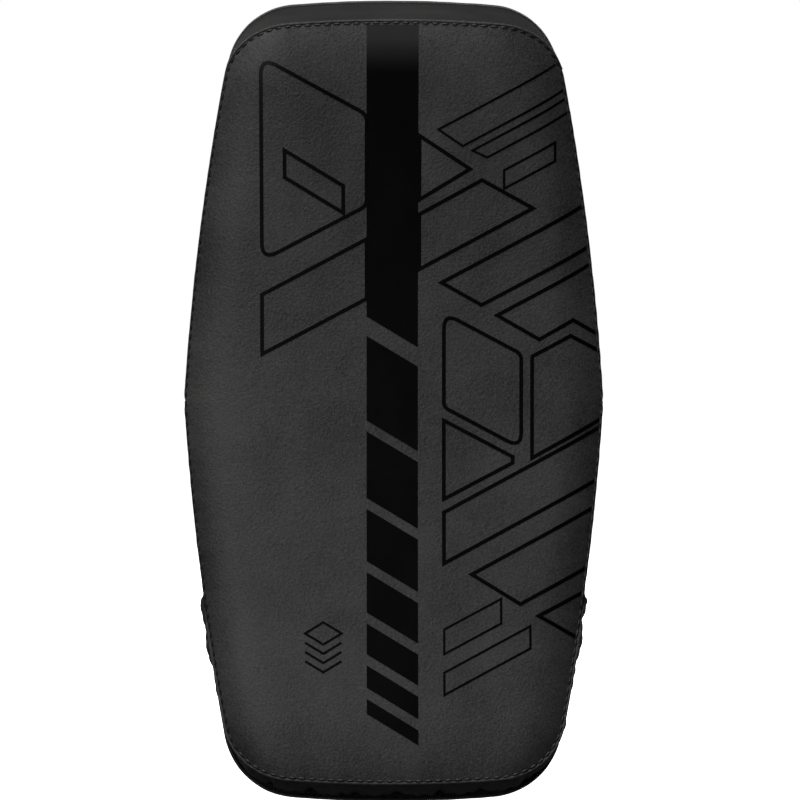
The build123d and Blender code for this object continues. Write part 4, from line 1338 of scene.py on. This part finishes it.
def make_grip(mats):
    local = BackFrame(GRIP_S)
    foot_n = PATCH + SEWN_GAP + GRIP_WEB / 2
    half = GRIP_LENGTH / 2 + 6
    inner, outer = GRIP_FOOT
    corners = [(-outer, foot_n), (-inner, foot_n), (-half, GRIP_STANDOFF), (half, GRIP_STANDOFF),
               (inner, foot_n), (outer, foot_n)]
    path = rounded_path(corners, [9.0] * 4)
    tape = strip("grip_strap", path, local, GRIP_WEB_WIDTH, -GRIP_WEB / 2, GRIP_WEB / 2, wobble=0.15)
    finish_piece(tape, mats["webbing"], "shield", ["grip_webbing"])

    # leather-wrapped bar: rolled ends, a lapped seam along its underside and soft dents from a hand
    around, along = 64, 60
    rows = []
    outer_half = GRIP_LENGTH / 2
    for i in range(along + 1):
        reach = i / along * 2 - 1
        x = outer_half * math.sin(reach * math.pi / 2)
        end = max(0.0, abs(x) - (outer_half - 4.0)) / 4.0
        row = []
        for j in range(around):
            a = TAU * j / around
            swell = 0.5 * math.cos(reach * math.pi / 2)
            dents = 0.22 * ripple(x, math.sin(a) * 18, 17, 3.3) + 0.18 * ripple(x, math.cos(a) * 18, 9, 1.1)
            tucks = 0.35 * end * math.sin(a * 17)
            lap = 0.55 * smooth_step(math.cos(a - GRIP_SEAM_TURN), 0.965, 0.985)
            rolled = 3.2 * (1 - math.sqrt(max(0, 1 - end ** 2)))
            radius = GRIP_RADIUS - 0.6 + swell + dents + tucks + lap - rolled
            row.append(local.at(x, GRIP_STANDOFF + radius * math.cos(a), radius * math.sin(a)))
        rows.append(row)
    for x in (outer_half - 2.0, -outer_half + 2.0):
        rows.append([local.at(x, GRIP_STANDOFF + GRIP_BORE * math.cos(TAU * j / around),
                              GRIP_BORE * math.sin(TAU * j / around)) for j in range(around)])
    rows.append(rows[0])
    bar = loft("grip_wrap", rows)
    finish_piece(bar, mats["grip"], "shield", ["grip_cover"], smooth=60)
    seam_angle = GRIP_SEAM_TURN + 0.24
    run = []
    for i in range(60):
        x = (i / 59 * 2 - 1) * (outer_half - 5)
        spoke = local.n * math.cos(seam_angle) + local.t * math.sin(seam_angle)
        middle = local.at(x, GRIP_STANDOFF) + spoke * (GRIP_RADIUS + 0.35) * MM
        run.append((middle, spoke))
    runs = [run]
    for side in (-1, 1):
        x = side * (inner + outer) / 2
        runs += sewn_box(x + side * 1.5, GRIP_S, outer - inner - 9, GRIP_WEB_WIDTH - 6, foot_n + GRIP_WEB / 2)
        runs.append(box_run(x, GRIP_S, outer - inner + 7, GRIP_PATCH_HEIGHT - 7, PATCH - 0.2))
    sew("grip_stitches", runs, mats, "shield", FINE_STITCH)
    width = outer - inner + 14
    pair = [patch("grip_patch", side * (inner + outer) / 2, GRIP_S, width, GRIP_PATCH_HEIGHT, mats["trim"])
            for side in (-1, 1)]
    both = join("grip_patches_sewn", pair)
    finish_piece(both, mats["trim"], "shield", ["grip_patches"], smooth=50)


# forearm straps
STRAP_WIDTH = 50.0
STRAP_PAD_WIDTH = 76.0
STRAP_PAD = 8.0
PAD_CHANNELS = 5
SEWN_EDGE = 1.6               # base thickness of a strap pad, before its filling
HOOK_AND_LOOP = 1.3
TAIL_AIR = 0.4
STRAP_HEIGHT = 92.0
STRAP_CORNERS = [(-122.0, PATCH + SEWN_GAP + WEB / 2), (-70.0, PATCH + SEWN_GAP + WEB / 2),
                 (-58.0, STRAP_HEIGHT), (58.0, STRAP_HEIGHT), (75.2, 33.7)]
STRAP_TOP_BEND = 36.0
FOLD_RADIUS = 5.0
RING_BAR_X = 88.0
RING_LOOP_RADIUS = 3.3
RING_LOOP_FOOT_X = 128.0
TAIL_END_X = -22.0
PAD_SPAN = (0.22, 0.62)       # where each layer starts and ends, as shares of the strap's sides
LOOP_SPAN = (0.36, 0.58)
HOOK_END = 0.56
ANCHOR_SEWN_X = -104.0        # sewn boxes: their middles and their lengths across the shield
ANCHOR_SEWN = 30.0
RING_SEWN_X = 116.0
RING_SEWN = 18.0


def moved_aside(points, distance):
    """Corners of a bent line moved to the left of its direction."""
    corners = [Vector(p) for p in points]
    ways = [(b - a).normalized() for a, b in zip(corners, corners[1:])]
    left = [Vector((-w.y, w.x)) for w in ways]
    result = [corners[0] + left[0] * distance]
    for corner, before, after in zip(corners[1:], left, left[1:]):
        middle = (before + after).normalized()
        result.append(corner + middle * (distance / middle.dot(after)))
    result.append(corners[-1] + left[-1] * distance)
    return result


def make_forearm_strap(mats, word):
    s = STRAP_S[word]
    local = BackFrame(s)
    foot, rise, top_left, top_right, level = (Vector(p) for p in STRAP_CORNERS)
    down = (level - top_right).normalized()
    out = Vector((-down.y, down.x))
    turn_in = level + down * FOLD_RADIUS
    turn_out = turn_in + out * (2 * FOLD_RADIUS)
    fold_end = level + out * (2 * FOLD_RADIUS) - down * 0.6
    node = word + "_strap_"
    fold = FOLD_RADIUS - 0.1

    path = rounded_path([foot, rise, top_left, top_right, turn_in, turn_out, fold_end],
                        [9.0, STRAP_TOP_BEND, STRAP_TOP_BEND, fold, fold])
    tape = strip(node + "tape", path, local, STRAP_WIDTH, -WEB / 2, WEB / 2, wobble=0.12, seed=s)
    finish_piece(tape, mats["webbing"], "shield", [node + "webbing"])

    inner = [rise.lerp(top_left, PAD_SPAN[0]), top_left, top_right, top_right.lerp(level, PAD_SPAN[1])]
    pad_path = rounded_path(inner, [STRAP_TOP_BEND, STRAP_TOP_BEND])
    pad_low, pad_high = -WEB / 2 - 0.1 - STRAP_PAD, -WEB / 2 - 0.15
    pad = cushion_strip(node + "cushion", pad_path, local, STRAP_PAD_WIDTH, pad_low, pad_high, seed=s)
    finish_piece(pad, mats["grip"], "shield", [node + "pad"], smooth=70)

    loop_low = WEB / 2 + 0.05
    loop_high = loop_low + HOOK_AND_LOOP
    loop_start, loop_end = top_left.lerp(top_right, LOOP_SPAN[0]), top_right.lerp(level, LOOP_SPAN[1])
    loop_path = rounded_path([loop_start, top_right, loop_end], [STRAP_TOP_BEND])
    loop_tape = strip(node + "loop_tape", loop_path, local, STRAP_WIDTH - 4, loop_low, loop_high)
    finish_piece(loop_tape, mats["loops"], "shield", [node + "loop_strip"])

    hook_low = loop_high + TAIL_AIR
    hook_high = hook_low + HOOK_AND_LOOP
    tail_middle = hook_high + 0.05 + WEB / 2
    hook_start, hook_end = (TAIL_END_X + 24, STRAP_HEIGHT), top_right.lerp(level, HOOK_END)
    hook_path = rounded_path([hook_start, top_right, hook_end], [STRAP_TOP_BEND])
    body = word + "_tail"
    hook_tape = strip(node + "hook_tape", hook_path, local, STRAP_WIDTH - 4, hook_low, hook_high)
    finish_piece(hook_tape, mats["hooks"], body, [node + "hook_strip"])

    tail_line = [(TAIL_END_X, STRAP_HEIGHT), top_right, level]
    tail_top, tail_corner, tail_level = moved_aside(tail_line, tail_middle)
    settle = tail_level - down * 24
    tail_path = rounded_path([tail_top, tail_corner, settle, fold_end], [STRAP_TOP_BEND + tail_middle, 30])
    tail = strip(node + "tail_tape", tail_path, local, STRAP_WIDTH, -WEB / 2, WEB / 2, wobble=0.1,
                 seed=s + 9)
    tidy_mesh(tail)
    shade_smooth(tail, 42)
    tail.data.materials.append(mats["webbing"])
    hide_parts(node + "tail")
    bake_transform(tail)

    tip_path = rounded_path([(TAIL_END_X - 6, tail_top.y), (TAIL_END_X + 22, tail_top.y)], [])
    tip = strip(node + "tip", tip_path, local, STRAP_WIDTH + 2, WEB / 2 + 0.05, WEB / 2 + 1.5, power=10)
    end_path = rounded_path([(TAIL_END_X - 6, tail_top.y), (TAIL_END_X - 0.2, tail_top.y)], [])
    end = strip(node + "tip_end", end_path, local, STRAP_WIDTH + 2, -WEB / 2, WEB / 2 + 0.4, power=10)
    cap = join(node + "tip_cap", [tip, end])
    finish_piece(cap, mats["rubber"], body, [node + "tail_tip"])

    make_ring_loop(mats, word, local)
    repaint(frame["nodes"][node + "ring"], mats["ring"])

    patch_runs = []
    for place_word in ("anchor", "ring"):
        low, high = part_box(node + place_word + "_patch")
        middle, width = (low[0] + high[0]) / 2 / MM, (high[0] - low[0]) / MM
        patch(node + place_word + "_leather", middle, s, width, STRAP_PAD_WIDTH, mats["trim"],
              [node + place_word + "_patch"])
        patch_runs.append(box_run(middle, s, width - 7, STRAP_PAD_WIDTH - 7, PATCH - 0.2))

    edge = STRAP_WIDTH / 2 - 3.5
    fixed = [strip_stitch_run(path, local, t, WEB / 2, 0.02, 0.62) for t in (-edge, edge)]
    sewn = PATCH + SEWN_GAP + WEB
    fixed += sewn_box(ANCHOR_SEWN_X, s, ANCHOR_SEWN, STRAP_WIDTH - 8, sewn)
    fixed += patch_runs
    loops_top = PATCH + SEWN_GAP + 2 * WEB + 0.15
    fixed += sewn_box(RING_SEWN_X, s, RING_SEWN, STRAP_WIDTH - 8, loops_top)
    sew(node + "stitches", fixed, mats, "shield", STRAP_STITCH)
    tail_runs = [strip_stitch_run(tail_path, local, t, WEB / 2, 0.0, 0.72) for t in (-edge, edge)]
    for x in (TAIL_END_X + 18, TAIL_END_X + 1):
        tail_runs.append(cross_strap_run(local, x, tail_top.y + WEB / 2 + 1.4, STRAP_WIDTH / 2 - 2))
    sew(node + "tail_stitches", tail_runs, mats, body, STRAP_STITCH)


def cross_strap_run(local, x, n, half):
    """Stitches straight across a flat strap."""
    return [(local.at(x, n, -half + 2 * half * i / 12), local.n) for i in range(13)]


def cushion_strip(name, path, local, width, low, high, seed=0.0):
    """Foam pad in a leather sleeve: crowned between flat sewn edges, with quilting channels across."""
    spans = headings(path)
    across = 25
    verts, uvs = [], []
    total = sum((b - a).length for a, b in zip(path, path[1:]))
    length = 0.0
    for i, (point, heading) in enumerate(zip(path, spans)):
        if i:
            length += (point - path[i - 1]).length
        side = Vector((-heading.y, heading.x))
        end = min(length, total - length)
        closing = edge_round(1 - min(1.0, end / 9.0), 2.4)
        groove = abs(math.sin(math.pi * length / total * PAD_CHANNELS))
        for face in (1, -1):
            for j in range(across):
                share = (j / (across - 1) * 2 - 1) * face
                edge = (1 - abs(share)) * width / 2
                crown = smooth_step(edge, 2.0, 15.0)
                quilt = 0.55 + 0.45 * min(1.0, groove * 2.2) ** 0.7
                flange = 0.22 * min(1.0, edge / 1.0 + 0.2)
                fullness = flange + (1 - flange) * crown * (quilt if face < 0 else 0.9) * closing
                creases = 0.3 * ripple(length, share * 30, 13, seed + 1) * crown
                # the outer face lies against the webbing, so the crown shows on the inner face
                if face > 0:
                    lift = high - 0.5 * (1 - crown)
                else:
                    lift = high - SEWN_EDGE - (high - low - SEWN_EDGE) * fullness + creases
                spot = point + side * lift
                verts.append(local.at(spot.x, spot.y, share * width / 2))
                uvs.append((length * MM, share * width / 2 * MM))
    return make_object(name, verts, tube_faces(0, len(path), 2 * across), uvs)


def make_ring_loop(mats, word, local):
    foot_n = PATCH + SEWN_GAP + WEB / 2
    inner_x = RING_BAR_X - RING_LOOP_RADIUS
    top_n = foot_n + 2 * RING_LOOP_RADIUS
    upper_n = foot_n + WEB + 0.1
    corners = [(RING_LOOP_FOOT_X, foot_n), (inner_x, foot_n), (inner_x, top_n), (RING_BAR_X + 5, top_n),
               (RING_BAR_X + 15, upper_n), (RING_LOOP_FOOT_X, upper_n)]
    turn = RING_LOOP_RADIUS - 0.1
    path = rounded_path(corners, [turn, turn, 8, 8], step=1.2)
    tape = strip(word + "_strap_ring_tape", path, local, STRAP_WIDTH, -WEB / 2, WEB / 2)
    finish_piece(tape, mats["webbing"], "shield", [word + "_strap_ring_loop"])


# carry handle
HANDLE_LIFT = 3.2
HANDLE_LEG_X = 58.0
HANDLE_WEB = 2.8
HANDLE_WEB_WIDTH = 25.0
HANDLE_DROP = 66.0
HANDLE_BAR_OUT = 1.3          # takes the bar's tape out of the plane of the legs' tape, which it overlaps
HANDLE_SLEEVE = 88.0


def make_carry_handle(mats):
    hinge = on_back(0, HANDLE_S, HANDLE_LIFT)
    verts, faces, uvs = [], [], []

    def at(x, y, z):
        return (hinge + Vector((x, y, z))) * MM

    def flat_tape(points, width_dir, width):
        """Tape along points in metres, with rounded edges; width_dir lies across it."""
        across = 9
        base = len(verts)
        length = 0.0
        for i, point in enumerate(points):
            if i:
                length += (point - points[i - 1]).length
            tangent = (points[min(i + 1, len(points) - 1)] - points[max(i - 1, 0)]).normalized()
            up = tangent.cross(width_dir).normalized()
            for face in (1, -1):
                for j in range(across):
                    share = (j / (across - 1) * 2 - 1) * face
                    rim = max(THINNEST_RIM, edge_round(share, 8.0))
                    verts.append(point + width_dir * (share * width / 2 * MM)
                                 + up * (face * HANDLE_WEB / 2 * rim * MM))
                    uvs.append((length, share * width / 2 * MM))
        faces.extend(tube_faces(base, len(points), 2 * across))

    x_dir, z_dir = Vector((1, 0, 0)), Vector((0, 0, 1))
    for side in (-1, 1):
        x = side * HANDLE_LEG_X
        lift = PATCH + SEWN_GAP + HANDLE_WEB / 2
        foot = [on_back(x, HANDLE_S + 29 - 27 * i / 11, lift) * MM for i in range(12)]
        leg = [at(x, 0.0, -0.6 - (HANDLE_DROP - 0.6) * i / 22) for i in range(23)]
        flat_tape(foot + leg, x_dir, HANDLE_WEB_WIDTH)
    half_bar = HANDLE_LEG_X + HANDLE_WEB_WIDTH / 2
    bar = [at(half_bar * (i / 30 * 2 - 1), HANDLE_BAR_OUT, -HANDLE_DROP) for i in range(31)]
    flat_tape(bar, z_dir, HANDLE_WEB_WIDTH)
    tape = make_object("carry_handle_tape", verts, faces, uvs)
    tidy_mesh(tape)
    shade_smooth(tape, 42)
    tape.data.materials.append(mats["webbing"])
    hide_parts("carry_handle_webbing", "carry_handle_feet")
    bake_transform(tape)

    # sleeve: a padded leather wrap, oval in section, gathered at its ends
    rows = []
    around, along = 56, 44
    length = HANDLE_SLEEVE
    for i in range(along + 1):
        reach = i / along * 2 - 1
        x = reach * length / 2
        end = max(0.0, abs(x) - (length / 2 - 5)) / 5
        row = []
        for j in range(around):
            b = TAU * j / around
            cy, cz = math.cos(b), math.sin(b)
            radius = (abs(cy / 9.0) ** 2.6 + abs(cz / 17.0) ** 2.6) ** (-1 / 2.6)
            radius *= 0.965 + 0.03 * math.cos(reach * math.pi / 2)
            radius += 0.25 * ripple(x, b * 9, 12, 5.5) + 0.3 * end * math.sin(b * 15)
            radius -= 2.2 * (1 - math.sqrt(max(0.0, 1 - end ** 2)))
            radius += 0.5 * math.exp(-((b - 1.5 * math.pi) / 0.09) ** 2)
            row.append(at(x, radius * cy, -HANDLE_DROP + radius * cz))
        rows.append(row)
    for x in (length / 2 - 1.5, -length / 2 + 1.5):
        row = []
        for j in range(around):
            b = TAU * j / around
            bore = 1.9 * math.copysign(abs(math.cos(b)) ** 0.4, math.cos(b))
            row.append(at(x, bore, -HANDLE_DROP + 12.9 * math.sin(b)))
        rows.append(row)
    rows.append(rows[0])
    sleeve = loft("carry_handle_wrap", rows)
    finish_piece(sleeve, mats["grip"], "carry_handle", ["carry_handle_sleeve"], smooth=60)
    outward = Vector((0, 1, -0.5)).normalized()
    run = [(at((i / 40 * 2 - 1) * 38, 8.2, -HANDLE_DROP - 11.0), outward) for i in range(41)]
    sew("carry_handle_stitches", [run], mats, "carry_handle", STRAP_STITCH)

    middle = HANDLE_S + 2.6 + 14
    pair = [patch("handle_patch", side * HANDLE_LEG_X, middle, 42, 38, mats["trim"]) for side in (-1, 1)]
    both = join("carry_handle_leather", pair)
    finish_piece(both, mats["trim"], "shield", ["carry_handle_patches"], smooth=50)
    runs = []
    sewn = PATCH + SEWN_GAP + HANDLE_WEB
    for side in (-1, 1):
        x = side * HANDLE_LEG_X
        runs += sewn_box(x, middle + 1, HANDLE_WEB_WIDTH - 6, 20, sewn)
        runs.append(box_run(x, middle, 35, 31, PATCH - 0.2))
    sew("carry_handle_foot_stitches", runs, mats, "shield", FINE_STITCH)


def repaint(obj, material):
    """Gives a CAD node a better material without touching its mesh."""
    if not obj.material_slots:
        obj.data.materials.append(material)
    for slot in obj.material_slots:
        slot.material = material


def make_hardware(mats):
    nodes = frame["nodes"]
    for name, key in (
        ("upper_zip_tape", "tape"), ("lower_zip_tape", "tape"), ("upper_zip_teeth", "teeth"),
        ("lower_zip_teeth", "teeth"), ("zip_end_stops", "teeth"), ("zip_slider", "zip"),
        ("zip_pull", "zip"), ("grip_core", "tube"),
    ):
        repaint(nodes[name], mats[key])


# ---- stage, lights and camera --------------------------------------------------------------------

CAMERA_DISTANCE = 2300.0      # from the ends of the strike face
CAMERA_RISE = 1.4             # degrees above the level of the shield's middle
CAMERA_SIDE = 0.8             # degrees to the left of it
CAMERA_LENS = 127.2
CAMERA_AIM = (5.7, 0.4)       # aim right of and above the shield's middle
AMBIENT = 0.055


def make_stage():
    floor_z = cad_box[0][2] - 0.002
    reach = 14.0
    verts = [(-reach, -reach, floor_z), (reach, -reach, floor_z), (reach, reach, floor_z),
             (-reach, reach, floor_z)]
    floor = make_object("floor", verts, [(0, 1, 2, 3)])
    n = Nodes("floor_white")
    cloud = n.noise(1.5, 2.0, 0.5)
    colour = n.ramp(cloud, [(0.3, (0.94, 0.94, 0.94)), (0.8, (0.97, 0.97, 0.97))])
    n.surface(**{"Base Color": colour, "Roughness": 0.9, "Emission Color": (1, 1, 1, 1),
                 "Emission Strength": 1.15})
    floor.data.materials.append(n.material)
    floor.visible_glossy = False
    floor.visible_diffuse = False


def area_light(name, spot, aim, size, power, glossy):
    data = bpy.data.lights.new(name, "AREA")
    data.shape = "RECTANGLE"
    data.size, data.size_y = size
    data.energy = power
    lamp = add_object(name, data)
    lamp.location = spot
    lamp.rotation_mode = "QUATERNION"
    lamp.rotation_quaternion = (Vector(aim) - Vector(spot)).to_track_quat("-Z", "Y")
    lamp.visible_glossy = glossy


# name, place from the middle of the face and size in metres, power, whether reflections show it
LAMPS = [
    ("key", (-0.95, -2.3, 0.35), (0.8, 2.0), 25.5, True),
    ("side", (-1.9, -1.7, 1.3), (1.2, 1.2), 7, True),
    ("top", (-0.3, -0.95, 2.3), (1.4, 1.0), 54, True),
    ("behind", (-1.3, 2.3, 0.1), (0.9, 1.6), 90, False),
    ("behind_gloss", (-2.3, 1.3, 0.6), (0.8, 1.4), 10, True),
    ("behind", (1.3, 2.3, 0.1), (0.9, 1.6), 90, False),
    ("behind_gloss", (2.3, 1.3, 0.6), (0.8, 1.4), 10, True),
]


def make_lights():
    middle = place(0, 0, FACE_RADIUS)
    for name, spot, size, power, glossy in LAMPS:
        area_light(name, middle + Vector(spot), middle, size, power, glossy)
    world = bpy.data.worlds.new("studio")
    world.use_nodes = True
    tree = world.node_tree
    ambient = tree.nodes["Background"]
    ambient.inputs["Color"].default_value = (1, 1, 1, 1)
    ambient.inputs["Strength"].default_value = AMBIENT
    backdrop = tree.nodes.new("ShaderNodeBackground")
    backdrop.inputs["Color"].default_value = (1, 1, 1, 1)
    backdrop.inputs["Strength"].default_value = 1.0
    mix = tree.nodes.new("ShaderNodeMixShader")
    path = tree.nodes.new("ShaderNodeLightPath")
    tree.links.new(path.outputs["Is Camera Ray"], mix.inputs["Fac"])
    tree.links.new(ambient.outputs[0], mix.inputs[1])
    tree.links.new(backdrop.outputs[0], mix.inputs[2])
    tree.links.new(mix.outputs[0], tree.nodes["World Output"].inputs["Surface"])
    bpy.context.scene.world = world
    bpy.context.scene.view_settings.view_transform = "Standard"


def make_camera():
    data = bpy.data.cameras.new("camera")
    data.lens = CAMERA_LENS
    data.sensor_width = 36.0
    camera = add_object("camera", data)
    end_y = AXIS_Y + FACE_RADIUS * math.cos(END_ANGLE)
    middle = Vector((0, AXIS_Y + FACE_RADIUS + PAD_THICKNESS / 2, AXIS_Z))
    target = middle + Vector((CAMERA_AIM[0], 0, CAMERA_AIM[1]))
    distance = middle.y - end_y + CAMERA_DISTANCE
    rise, aside = math.radians(CAMERA_RISE), math.radians(CAMERA_SIDE)
    away = Vector((-math.sin(aside) * math.cos(rise), -math.cos(aside) * math.cos(rise), math.sin(rise)))
    spot = target + away * distance
    camera.location = spot * MM
    camera.rotation_mode = "QUATERNION"
    camera.rotation_quaternion = (target - spot).to_track_quat("-Z", "Y")
    bpy.context.scene.camera = camera


# ---- building ------------------------------------------------------------------------------------

materials = make_materials()
make_camera()
make_lights()
make_stage()
make_strike_face(materials)
make_artwork(materials)
make_walls(materials)
make_binding(materials)
make_back(materials)
make_filling(materials)
make_vents(materials)
make_grip(materials)
for strap_word in ("upper", "lower"):
    make_forearm_strap(materials, strap_word)
make_carry_handle(materials)
make_hardware(materials)
